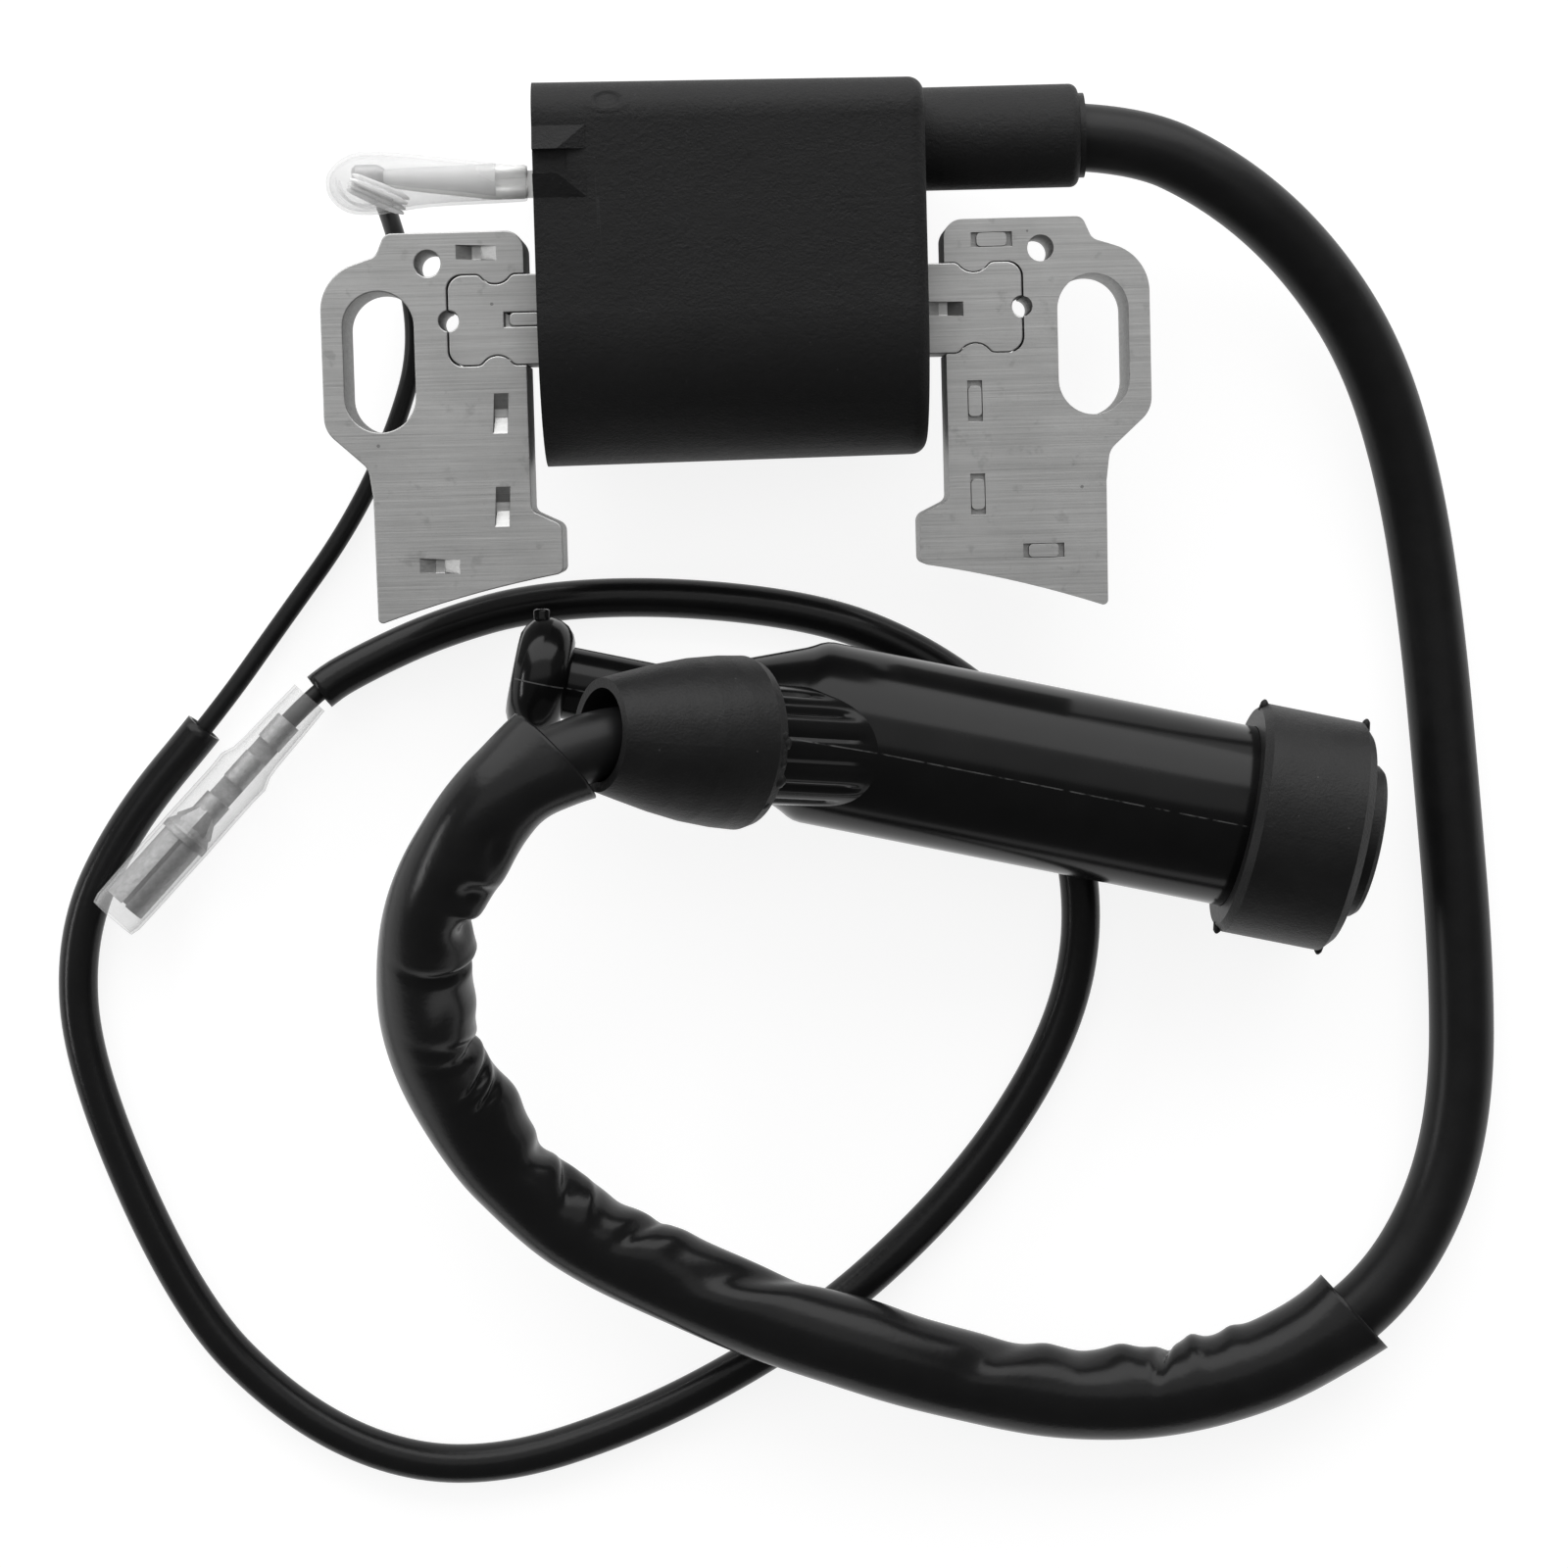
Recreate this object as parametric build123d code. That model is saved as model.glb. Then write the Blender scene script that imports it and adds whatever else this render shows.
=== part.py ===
"""Flywheel ignition coil of a small petrol engine.

Laminated core, moulded coil case, kill wire, HT lead and plug cap.

Frame: X runs along the coil's winding axis towards the HT tower, Y away from the flywheel, Z up from the
surface the unit lies on.  The mounting slots lie on Y = 0, evenly about X = 0.  Millimetres.
"""
import os
from math import cos, pi, radians, sin, sqrt, tan

from build123d import *

os.makedirs("parts", exist_ok=True)

# ---------------------------------------------------------------- driving sizes
SLOT_SPACING = 73.3        # between the two mounting slots
SLOT_WIDTH = 7.3           # clears an M6 bolt
SLOT_LENGTH = 14.4
STACK = 11.4               # thickness of the lamination packs
CORE_Z = 15.1              # height of the winding axis above the surface
AXIS_Y = 4.0               # winding axis above the slots' centre line
POLE_RADIUS = 114.0        # curve of the pole faces
POLE_CENTRE_Y = -134.6
BAR_HEIGHT = 9.2
BAR_END = 29.4             # end of the core bar's head from the middle
JOINT_GAP = 0.08           # between bar head and leg
CASE_LEFT, CASE_RIGHT = -19.9, 19.5
CASE_RADIUS = 15.1         # lower half of the case, about the winding axis
CASE_TOP = 27.4            # Y of the flat upper side
CASE_WALL = 1.8
CASE_DRAFT = 0.5           # degrees a side
CASE_CORNER = 4.0
TOWER_RADIUS = 5.3
TOWER_END = 35.9
TOWER_Y = 21.7
LEAD_RADIUS = 3.5          # 7 mm HT lead
SEAT_GAP = 0.1             # moulded pieces that seat in each other
HT_SLEEVE_OUT, HT_SLEEVE_IN = 5.0, 4.4
WIRE_RADIUS = 1.0
TUBE_OUT, TUBE_IN = 2.1, 1.65
TAB_WIDTH, TAB_THICK = 2.8, 0.5
TAB_Y, TAB_Z = 18.1, 15.2
BARREL_RADIUS = 9.6        # plug cap
BARREL_LENGTH = 58.3
RING_RADIUS, RING_LENGTH = 12.25, 12.0
ENTRY_RADIUS = 6.15
PLUG_BORE = 5.4            # takes the plug's insulator


def ring(outer, inner, length):
    """A tube from Z = 0 up."""
    up = Align.MIN
    return (Cylinder(outer, length, align=(Align.CENTER, Align.CENTER, up))
            - Cylinder(inner, length, align=(Align.CENTER, Align.CENTER, up)))


def rod(radius, length, start=0.0):
    """A cylinder from Z = start up."""
    return Pos(0, 0, start) * Cylinder(radius, length, align=(Align.CENTER, Align.CENTER, Align.MIN))


def turned(points):
    """A solid turned about Z from (radius, height) points."""
    outline = Polyline(*[(r, 0, z) for r, z in points], close=True)
    return revolve(make_face(outline), Axis.Z, 360)


def heading(azimuth, pitch):
    """Unit vector from a compass-like angle about Z and a rise, in degrees."""
    a, p = radians(azimuth), radians(pitch)
    return Vector(cos(p) * cos(a), cos(p) * sin(a), sin(p))


def axis_frame(origin, azimuth, pitch):
    """A plane whose Z runs along the heading and whose X points up from it."""
    a, p = radians(azimuth), radians(pitch)
    return Plane(origin=origin, x_dir=(-sin(p) * cos(a), -sin(p) * sin(a), cos(p)),
                 z_dir=heading(azimuth, pitch))


def rounded(face, corners):
    """Fillet the corners of a face nearest to the listed (x, y) points."""
    for x, y, radius in corners:
        corner = min(face.vertices(), key=lambda v: (v.X - x) ** 2 + (v.Y - y) ** 2)
        face = fillet(corner, radius)
    return face


def solids_of(shape):
    return shape.solids()


written = {}


def write(name, shape):
    bodies = solids_of(shape)
    if not bodies:
        raise ValueError(name + " has no solid")
    out = bodies[0] if len(bodies) == 1 else Compound(children=list(bodies))
    out.label = name
    export_step(out, f"parts/{name}.step")
    written[name] = sum(b.volume for b in bodies)


# ---------------------------------------------------------------- core bar and legs
slot_x = SLOT_SPACING / 2
stack_low = CORE_Z - STACK / 2
stack_high = CORE_Z + STACK / 2
bar_top = AXIS_Y + BAR_HEIGHT / 2
bar_low = AXIS_Y - BAR_HEIGHT / 2
NECK_X = 24.5
SCALLOP = 1.9
SCALLOP_OUT = 0.9          # scallop centre beyond the bar's edge
HEAD_CORNER = 1.6
PIN_HOLE = 1.05


def bar_outline(grow):
    """Half of the bar, to the right, with its jigsaw head, grown outwards by a gap."""
    face = Pos(BAR_END / 2, AXIS_Y) * Rectangle(BAR_END + 2 * grow, BAR_HEIGHT + 2 * grow)
    face = Pos(grow, 0) * face if grow else face
    head = [(BAR_END + 2 * grow, bar_top + grow, HEAD_CORNER),
            (BAR_END + 2 * grow, bar_low - grow, HEAD_CORNER)]
    face = rounded(face, head)
    reach = sqrt((SCALLOP - grow) ** 2 - (SCALLOP_OUT - grow) ** 2)
    for y, out in ((bar_top, 1), (bar_low, -1)):
        face -= Pos(NECK_X, y + out * SCALLOP_OUT) * Circle(SCALLOP - grow)
        lips = [(NECK_X + side * reach, y + out * grow, 0.8 + grow) for side in (-1, 1)]
        face = rounded(face, lips)
    return face


half_bar = bar_outline(0.0)
bar_face = half_bar + mirror(half_bar, about=Plane.YZ)
for side in (-1, 1):
    bar_face -= Pos(side * BAR_END, AXIS_Y) * Circle(PIN_HOLE)
bar = Pos(0, 0, stack_low) * extrude(bar_face, STACK)

# leg outline, right-hand side, round from the inner top corner
pole_low = POLE_CENTRE_Y + sqrt(POLE_RADIUS ** 2 - 37.6 ** 2)
pole_high = POLE_CENTRE_Y + sqrt(POLE_RADIUS ** 2 - 18.4 ** 2)
pole_mid = POLE_CENTRE_Y + sqrt(POLE_RADIUS ** 2 - 28.0 ** 2)
ear = slot_x + SLOT_WIDTH / 2 + 2.2
leg_points = [(18.4, pole_high), (18.4, -17.1), (21.5, -15.6), (21.5, 13.05), (35.7, 13.05), (36.7, 10.75),
              (ear, 8.9), (ear, -6.9), (38.1, -10.9), (37.7, -14.0), (37.6, pole_low)]
leg_edges = [Polyline(*leg_points), ThreePointArc((37.6, pole_low), (28.0, pole_mid), (18.4, pole_high))]
leg_face = make_face(leg_edges)
leg_face = rounded(leg_face, [
    (18.4, pole_high, 0.8), (18.4, -17.1, 1.1), (21.5, -15.6, 0.9), (21.5, 13.05, 1.9), (35.7, 13.05, 1.0),
    (36.7, 10.75, 1.2), (ear, 8.9, 5.0), (ear, -6.9, 3.0), (38.1, -10.9, 2.0), (37.6, pole_low, 0.5)])
leg_face -= Pos(slot_x, 0) * SlotOverall(SLOT_LENGTH, SLOT_WIDTH, rotation=90)
leg_face -= Pos(31.4, 9.9) * Circle(1.35)
leg_face -= bar_outline(JOINT_GAP)
leg_face -= Pos(BAR_END, AXIS_Y) * Circle(PIN_HOLE)
leg_face = max(leg_face.faces(), key=lambda f: f.area)
leg = Pos(0, 0, stack_low) * extrude(leg_face, STACK)

# pressed lances that hold the laminations together: (x, y, turned)
LANCE_LONG, LANCE_WIDE, LANCE_DEEP = 4.2, 1.5, 0.9
leg_lances = [(26.4, 10.9, 0), (24.35, -5.55, 90), (24.45, -15.1, 90), (31.1, -21.05, 0)]


def lance(x, y, turn, long=LANCE_LONG):
    """A pressed notch, sheared along its sides, that slopes down from both ends to a short flat."""
    line = Polyline((-long / 2, 0.02), (-0.45, -LANCE_DEEP), (0.45, -LANCE_DEEP), (long / 2, 0.02),
                    close=True)
    notch = extrude(Plane.XZ * make_face(line), LANCE_WIDE / 2, both=True)
    return Pos(x, y, stack_high) * Rot(0, 0, turn) * notch


def filled_lance(x, y, turn, long=LANCE_LONG):
    """The gap round a tongue pressed up from the sheet below, open at both ends."""
    gap = Box(long, LANCE_WIDE, LANCE_DEEP)
    tongue = extrude(RectangleRounded(long - 1.1, LANCE_WIDE - 0.14, 0.45), LANCE_DEEP / 2, both=True)
    return Pos(x, y, stack_high - LANCE_DEEP / 2) * Rot(0, 0, turn) * (gap - tongue)


left_leg = mirror(leg, about=Plane.YZ)
right_leg = leg
for x, y, turn in leg_lances:
    left_leg -= lance(-x, y, turn)
    right_leg -= filled_lance(x, y, turn)
bar -= lance(21.3, AXIS_Y, 0)
bar -= filled_lance(-21.6, AXIS_Y, 0)
write("core_bar", bar)
write("left_leg_stack", left_leg)
write("right_leg_stack", right_leg)

# ---------------------------------------------------------------- coil case
case_len = CASE_RIGHT - CASE_LEFT
tilt_x = Plane(origin=(CASE_LEFT, 0, 0), x_dir=(0, 1, 0), z_dir=(1, 0, 0))


def case_section(inset):
    """Outline across X: half circle about the winding axis below, flat sided above."""
    r = CASE_RADIUS - inset
    top = CASE_TOP - inset
    box = Pos((AXIS_Y + top) / 2, CORE_Z) * Rectangle(top - AXIS_Y, 2 * r)
    corner = max(CASE_CORNER - inset, 0.8)
    box = rounded(box, [(top, CORE_Z + r, corner), (top, CORE_Z - r, corner)])
    return box + Pos(AXIS_Y, CORE_Z) * Circle(r)


case_outer = extrude(tilt_x * case_section(0.0), case_len, taper=CASE_DRAFT)
right_rim = case_outer.faces().sort_by(Axis.X)[-1]
case_outer = fillet(right_rim.edges(), 1.6)
cavity_len = case_len - CASE_WALL - 0.6
cavity = extrude(tilt_x * case_section(CASE_WALL), cavity_len, taper=CASE_DRAFT)
tower_plane = Plane(origin=(CASE_RIGHT - 2.4, TOWER_Y, CORE_Z), x_dir=(0, 1, 0), z_dir=(1, 0, 0))
tower = tower_plane * rod(TOWER_RADIUS, TOWER_END - CASE_RIGHT + 2.4)
tower = fillet(tower.edges().filter_by(GeomType.CIRCLE).sort_by(Axis.X)[-1], 0.9)
lead_start_x = 30.5
tower_bore = Pos(lead_start_x - 1.0, TOWER_Y, CORE_Z) * Rot(0, 90, 0) * rod(LEAD_RADIUS + SEAT_GAP, 12)
seal_x = TOWER_END - 2.0
seal_seat = Pos(seal_x, TOWER_Y, CORE_Z) * Rot(0, 90, 0) * rod(LEAD_RADIUS + 0.95, 6)
pin_hole = Pos(CASE_RIGHT - 4, TOWER_Y, CORE_Z) * Rot(0, 90, 0) * rod(0.8, 20)
bar_hole = Pos(CASE_RIGHT, AXIS_Y, CORE_Z) * Box(8, BAR_HEIGHT + 0.3, STACK + 0.3)
# moulded guard beside the terminal: two wedge ribs with a shallow recess between them
GUARD_HIGH = 0.9
GUARD_LONG, GUARD_CREST = 5.3, 2.5
GUARD_INNER_LOW, GUARD_INNER_HIGH = 17.95, 20.4
GUARD_SLOPE = 2.35
case_face = CORE_Z + CASE_RADIUS


def guard_rib(inner, outer):
    """A rib whose crest runs along its inner side and slopes down outwards and at its end."""
    along = Polyline((CASE_LEFT, -0.8), (CASE_LEFT, GUARD_HIGH), (CASE_LEFT + GUARD_CREST, GUARD_HIGH),
                     (CASE_LEFT + GUARD_LONG, 0.0), (CASE_LEFT + GUARD_LONG, -0.8), close=True)
    lengthwise = Pos(0, (inner + outer) / 2, case_face) * extrude(Plane.XZ * make_face(along), 4.0, both=True)
    across = Polyline((inner, -0.8), (inner, GUARD_HIGH), (outer, -0.02), (outer, -0.8), close=True)
    crosswise = Pos(CASE_LEFT, 0, case_face) * extrude(Plane.YZ * make_face(across), 8.0)
    return lengthwise & crosswise


ribs = [guard_rib(GUARD_INNER_HIGH, GUARD_INNER_HIGH + GUARD_SLOPE),
        guard_rib(GUARD_INNER_LOW, GUARD_INNER_LOW - GUARD_SLOPE)]
guard_mid = (GUARD_INNER_HIGH + GUARD_INNER_LOW) / 2
recess = Pos(CASE_LEFT, guard_mid, case_face) * Box(6.9, GUARD_INNER_HIGH - GUARD_INNER_LOW, 0.5)
sink_mark = Pos(-12.3, 25.4, case_face + 1.35) * Sphere(1.7)
coil_case = case_outer - recess - sink_mark + tower + ribs[0] + ribs[1]
coil_case = coil_case - cavity - tower_bore - seal_seat - pin_hole - bar_hole
write("coil_case", coil_case)

# ---------------------------------------------------------------- windings, all about the winding axis
winding_axis = Plane(origin=(0, AXIS_Y, CORE_Z), x_dir=(0, 1, 0), z_dir=(1, 0, 0))
COIL_LEFT = CASE_LEFT + 4.4
COIL_RIGHT = CASE_RIGHT - CASE_WALL - 1.2
coil_len = COIL_RIGHT - COIL_LEFT
bar_corner = sqrt((BAR_HEIGHT / 2) ** 2 + (STACK / 2) ** 2)
prim_in = bar_corner + 0.35
prim_out = prim_in + 0.9
sec_in = prim_out + 0.35
sec_out = sec_in + 0.6
coil_out = CASE_RADIUS - CASE_WALL - 0.75


def about_axis(shape, start):
    return winding_axis * (Pos(0, 0, start) * shape)


bobbin = rod(prim_in, coil_len) - Box(BAR_HEIGHT + 0.2, STACK + 0.2, 3 * coil_len)
end_flange = ring(prim_out, prim_in - 0.2, 0.8)
bobbin = bobbin + end_flange + Pos(0, 0, coil_len - 0.8) * end_flange
write("primary_bobbin", about_axis(bobbin, COIL_LEFT))
wound = ring(prim_out - 0.1, prim_in, coil_len - 1.8)
write("primary_winding", about_axis(wound, COIL_LEFT + 0.9))
sections = 7
flange = 0.6
pitch = (coil_len - flange) / sections
spool = ring(sec_out, sec_in, coil_len)
for i in range(sections + 1):
    spool = spool + Pos(0, 0, i * pitch) * ring(coil_out, sec_out - 0.2, flange)
write("secondary_bobbin", about_axis(spool, COIL_LEFT))
slices = [about_axis(ring(coil_out - 0.5, sec_out, pitch - flange - 0.1),
                     COIL_LEFT + i * pitch + flange + 0.05)
          for i in range(sections)]
write("secondary_winding", Compound(children=slices))

# ---------------------------------------------------------------- switching electronics and potting
board_y = AXIS_Y + coil_out + 1.3
board_x0, board_x1 = COIL_LEFT + 1.0, COIL_RIGHT - 5.0
board = Pos((board_x0 + board_x1) / 2, board_y, CORE_Z) * Box(board_x1 - board_x0, 1.0, 20.0)
write("control_board", board)
chip_y = board_y + 0.5 + 1.3
transistor = Pos(board_x0 + 8, chip_y, CORE_Z - 5) * Box(6.6, 2.6, 6.1)
write("power_transistor", transistor)
resistor_spots = [(board_x0 + 16, CORE_Z - 6), (board_x0 + 16, CORE_Z), (board_x0 + 16, CORE_Z + 6)]
resistors = [Pos(x, board_y + 1.05, z) * Box(3.2, 1.1, 1.6) for x, z in resistor_spots]
write("board_resistors", Compound(children=resistors))
ht_pin = Pos(CASE_RIGHT - 3.6, TOWER_Y, CORE_Z) * Rot(0, 90, 0) * rod(0.7, lead_start_x - CASE_RIGHT + 6.6)
write("ht_tower_pin", ht_pin)
tab_start = CASE_LEFT + 2.6
tab_end = CASE_LEFT - 6.0
tab = Pos((tab_start + tab_end) / 2, TAB_Y, TAB_Z) * Box(tab_start - tab_end, TAB_WIDTH, TAB_THICK)
write("kill_tab", tab)
strap_x = CASE_LEFT + 2.2
strap = Pos(strap_x, (bar_top + 0.1 + TAB_Y - 3) / 2, CORE_Z - 4) * Box(0.5, TAB_Y - 3 - bar_top - 0.1, 2.4)
strap_foot = Pos(strap_x - 1.2, bar_top + 0.25, CORE_Z - 4) * Box(2.9, 0.3, 2.4)
ground_strap = strap + strap_foot
write("ground_strap", ground_strap)
fill_face = tilt_x * case_section(CASE_WALL + 0.02)
fill = extrude(fill_face, cavity_len - 0.05, taper=CASE_DRAFT)
fill -= Pos(CASE_LEFT, 0, 0) * Box(2 * 1.0, 120, 120)
fill -= about_axis(rod(coil_out + 0.1, coil_len + 0.2), COIL_LEFT - 0.1)
fill -= Pos(0, AXIS_Y, CORE_Z) * Box(80, BAR_HEIGHT + 0.1, STACK + 0.1)
grown = 0.06
for piece in [board, transistor, tab, strap, strap_foot, *resistors]:
    b = piece.bounding_box()
    size = b.size
    fill -= Pos(*b.center()) * Box(size.X + grown, size.Y + grown, size.Z + grown)
fill -= Pos(CASE_RIGHT - 3.7, TOWER_Y, CORE_Z) * Rot(0, 90, 0) * rod(0.75, 10)
fill = max(fill.solids(), key=lambda s: s.volume)
write("potting_resin", fill)
seal_ring = ring(LEAD_RADIUS + 0.85, LEAD_RADIUS + 0.02, 2.58)
seal = Pos(seal_x + 0.02, TOWER_Y, CORE_Z) * Rot(0, 90, 0) * seal_ring
write("tower_seal", seal)

# ---------------------------------------------------------------- kill connector on the tab
rec_front = CASE_LEFT - 1.0
rec_len = 8.6
rec_back = rec_front - rec_len
shell = Pos(rec_front - rec_len / 2, TAB_Y, TAB_Z) * Box(rec_len, TAB_WIDTH + 1.0, TAB_THICK + 1.1)
tab_way = Pos(rec_front - 3.0, TAB_Y, TAB_Z) * Box(6.6, TAB_WIDTH + 0.3, TAB_THICK + 0.2)
curl_gap = Pos(rec_front - 3.0, TAB_Y, TAB_Z + 0.6) * Box(6.6, 0.7, 1.2)
receptacle = shell - tab_way - curl_gap
neck_back = -36.3
neck = Pos((rec_back + neck_back) / 2 + 0.2, TAB_Y, TAB_Z - 0.5) * Box(rec_back - neck_back + 0.4, 2.0, 0.4)
EXIT = Vector(-36.3, 16.6, 10.8)
EXIT_DIR = Vector(0, -0.5, -0.866).normalized()
tail_len = 4.4
tail_frame = Plane(origin=EXIT, x_dir=(1, 0, 0), z_dir=EXIT_DIR * -1)
crimp = tail_frame * (Pos(0, 0, 2.4) * ring(WIRE_RADIUS + 0.55, WIRE_RADIUS + 0.02, 2.4))
receptacle = receptacle + neck + crimp
receptacle -= tail_frame * (Pos(0, 0, 0) * rod(WIRE_RADIUS + 0.02, tail_len + 0.05))
receptacle = max(receptacle.solids(), key=lambda s: s.volume)
write("kill_receptacle", receptacle)
tail = tail_frame * rod(WIRE_RADIUS, tail_len - 0.1, 0.06)
write("kill_wire_tail", tail)
COVER_WALL = 0.6
sleeve_outer = Pos(-28.0, TAB_Y, TAB_Z) * Box(13.4, TAB_WIDTH + 1.4 + 2 * COVER_WALL, 3.0)
sleeve_outer = fillet(sleeve_outer.edges().filter_by(Axis.X), 1.2)
bulb = Pos(-37.2, 18.6, 14.6) * Box(9.6, 6.0, 6.4)
bulb = fillet(bulb.edges(), 2.3)
snout = tail_frame * rod(WIRE_RADIUS + 0.75, 3.2, 0.06)
cover = bulb + sleeve_outer + snout
inner = Pos(-29.6, TAB_Y, TAB_Z) * Box(18.0, TAB_WIDTH + 1.3, 1.9)
room = Pos(-37.0, 18.5, 14.7) * Box(7.6, 4.6, 5.0)
room = fillet(room.edges(), 1.2)
cover = cover - inner - room - tail_frame * rod(WIRE_RADIUS + 0.1, 5.0, -1.0)
cover = max(cover.solids(), key=lambda s: s.volume)
write("receptacle_cover", cover)

# ---------------------------------------------------------------- cords


def cord_path(name, points):
    """Straight runs joined by tangent arcs, each radius from the shorter run beside it."""
    p = [Vector(*q) for q in points]
    radii = []
    for a, b, c in zip(p, p[1:], p[2:]):
        into, out = b - a, c - b
        turn = radians(into.get_angle(out))
        radii.append(0.45 * min(into.length, out.length) / tan(turn / 2))
    print(name, "bend radii", [round(r, 1) for r in radii])
    return FilletPolyline(*p, radius=radii)


def swept(path, outer, inner=0.0):
    line = path if isinstance(path, Wire) else path.wire()
    start = Plane(origin=line @ 0, z_dir=line % 0)
    face = Circle(outer)
    if inner:
        face -= Circle(inner)
    body = sweep(start * face, path=line)
    area = pi * (outer ** 2 - inner ** 2)
    print("  length", round(line.length, 1), "volume ratio", round(body.volume / (area * line.length), 4))
    return body


BARREL_HEADING, BARREL_PITCH = 167.1, 2.0
ENTRY_HEADING, ENTRY_PITCH = 173.2, 29.8
cap_origin = Vector(63.05, -52.3, 13.2)
barrel_dir = heading(BARREL_HEADING, BARREL_PITCH)
entry_origin = cap_origin + barrel_dir * 46.2
entry_dir = heading(ENTRY_HEADING, ENTRY_PITCH)
LEAD_END = 21.5            # along the entry, where the lead stops


def on_entry(t):
    q = entry_origin + entry_dir * t
    return (q.X, q.Y, q.Z)


LEAD_POINTS = [
    (lead_start_x, TOWER_Y, CORE_Z), (41.0, TOWER_Y, CORE_Z), (51.2, 16.8, 13.6), (60.0, 9.3, 10.6),
    (67.2, -1.0, 7.2), (71.5, -14.3, 4.6), (73.9, -30.4, 3.6), (75.3, -48.5, 3.55), (76.5, -66.5, 3.6),
    (76.4, -81.5, 3.6), (73.4, -93.4, 3.9), (66.8, -103.2, 4.9), (56.8, -109.6, 5.1), (45.8, -112.9, 5.1),
    (34.0, -113.2, 5.4), (22.6, -110.5, 7.4), (10.8, -106.4, 9.9), (-1.4, -101.6, 10.0), (-13.4, -95.6, 10.4),
    (-24.9, -87.4, 12.0), (-31.6, -77.9, 16.0), (-34.4, -69.2, 22.0), (-34.2, -61.4, 28.0),
    (-32.4, -54.2, 33.0), (-28.2, -47.3, 35.9), (-21.5, -41.4, 35.9), (-14.6, -38.7, 33.4),
    on_entry(29.5), on_entry(LEAD_END)]
lead_path = cord_path("ht_lead", LEAD_POINTS).wire()
write("ht_lead", swept(lead_path, LEAD_RADIUS))


def nearest_parameter(path, point):
    """Where along a path, from 0 to 1, it passes closest to a point."""
    steps = [i / 2000 for i in range(2001)]
    return min(steps, key=lambda u: (path @ u - Vector(*point)).length)


ht_from = nearest_parameter(lead_path, (64.3, -104.6, 5.0))
ht_to = nearest_parameter(lead_path, (-18.9, -40.0, 35.6))
write("ht_lead_sleeving", swept(lead_path.trim(ht_from, ht_to), HT_SLEEVE_OUT, HT_SLEEVE_IN))

CONN_HEADING, CONN_PITCH = 226.8, 7.1
conn_origin = Vector(-46.83, -35.06, 3.25)
conn_dir = heading(CONN_HEADING, CONN_PITCH)


def on_conn(t):
    q = conn_origin + conn_dir * t
    return (q.X, q.Y, q.Z)


exit_run = EXIT + EXIT_DIR * 8.2
WIRE_POINTS = [
    (EXIT.X, EXIT.Y, EXIT.Z), (exit_run.X, exit_run.Y, exit_run.Z), (-34.0, 2.5, 1.2), (-36.8, -6.6, 1.1),
    (-42.2, -17.0, 1.1), (-49.7, -26.8, 1.1), (-56.7, -36.2, 2.1), (-67.1, -47.9, 2.15), (-73.2, -59.8, 2.15),
    (-72.8, -75.0, 2.15), (-62.5, -101.0, 2.15), (-51.8, -112.6, 2.15), (-40.2, -118.8, 2.15),
    (-28.4, -119.5, 2.15), (-14.7, -115.4, 2.15), (-2.1, -109.4, 2.15), (10.1, -101.6, 2.15),
    (23.0, -89.3, 2.15), (31.5, -77.0, 2.15), (35.5, -66.3, 2.15), (35.7, -55.4, 2.15), (32.8, -46.2, 2.15),
    (26.8, -37.8, 2.15), (17.4, -31.1, 2.15), (7.3, -27.2, 2.15), (-8.5, -25.1, 2.15), (-22.7, -25.4, 2.15),
    (-32.7, -28.0, 2.15), (-40.5, -31.3, 2.2), on_conn(-1.0), on_conn(5.2)]
wire_path = cord_path("kill_wire", WIRE_POINTS).wire()
write("kill_wire", swept(wire_path, WIRE_RADIUS))
tube_from = nearest_parameter(wire_path, (-58.1, -38.3, 2.1))
tube_to = nearest_parameter(wire_path, on_conn(-2.4))
write("kill_wire_sleeving", swept(wire_path.trim(tube_from, tube_to), TUBE_OUT, TUBE_IN))

# ---------------------------------------------------------------- bullet connector on the kill wire's end
conn = axis_frame(conn_origin, CONN_HEADING, CONN_PITCH)
SOCKET_RADIUS = 1.95
socket = ring(2.35, SOCKET_RADIUS, 9.6)
socket -= Pos(3, 0, 5) * Box(6, 0.5, 12)
socket = Pos(0, 0, 20.0) * socket
collar = turned([(1.9, 18.2), (2.75, 19.6), (2.75, 20.4), (2.2, 20.4), (1.4, 18.2)])
neck_plate = Pos(-1.1, 0, 12.9) * Box(0.5, 2.6, 13.0)
ins_crimp = Pos(0, 0, 3.4) * ring(WIRE_RADIUS + 0.45, WIRE_RADIUS + 0.02, 3.2)
core_crimp = Pos(0, 0, 8.6) * ring(1.35, 0.7, 3.6)
neck_cone = Pos(0, 0, 14.6) * ring(1.55, 1.05, 4.2)
bullet = socket + collar + neck_cone + core_crimp + ins_crimp + neck_plate
bullet -= rod(WIRE_RADIUS + 0.02, 6.0, 0.0)
bullet = max(bullet.solids(), key=lambda s: s.volume)
write("bullet_receptacle", conn * bullet)
SLEEVE_OUT, SLEEVE_IN, SLEEVE_LEN = 3.0, 2.8, 31.6
clear = rod(SLEEVE_OUT, SLEEVE_LEN) - rod(SLEEVE_IN, SLEEVE_LEN - 2.2, 1.1) - rod(2.5, SLEEVE_LEN + 2, -1)
write("bullet_sleeve", conn * clear)

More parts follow.
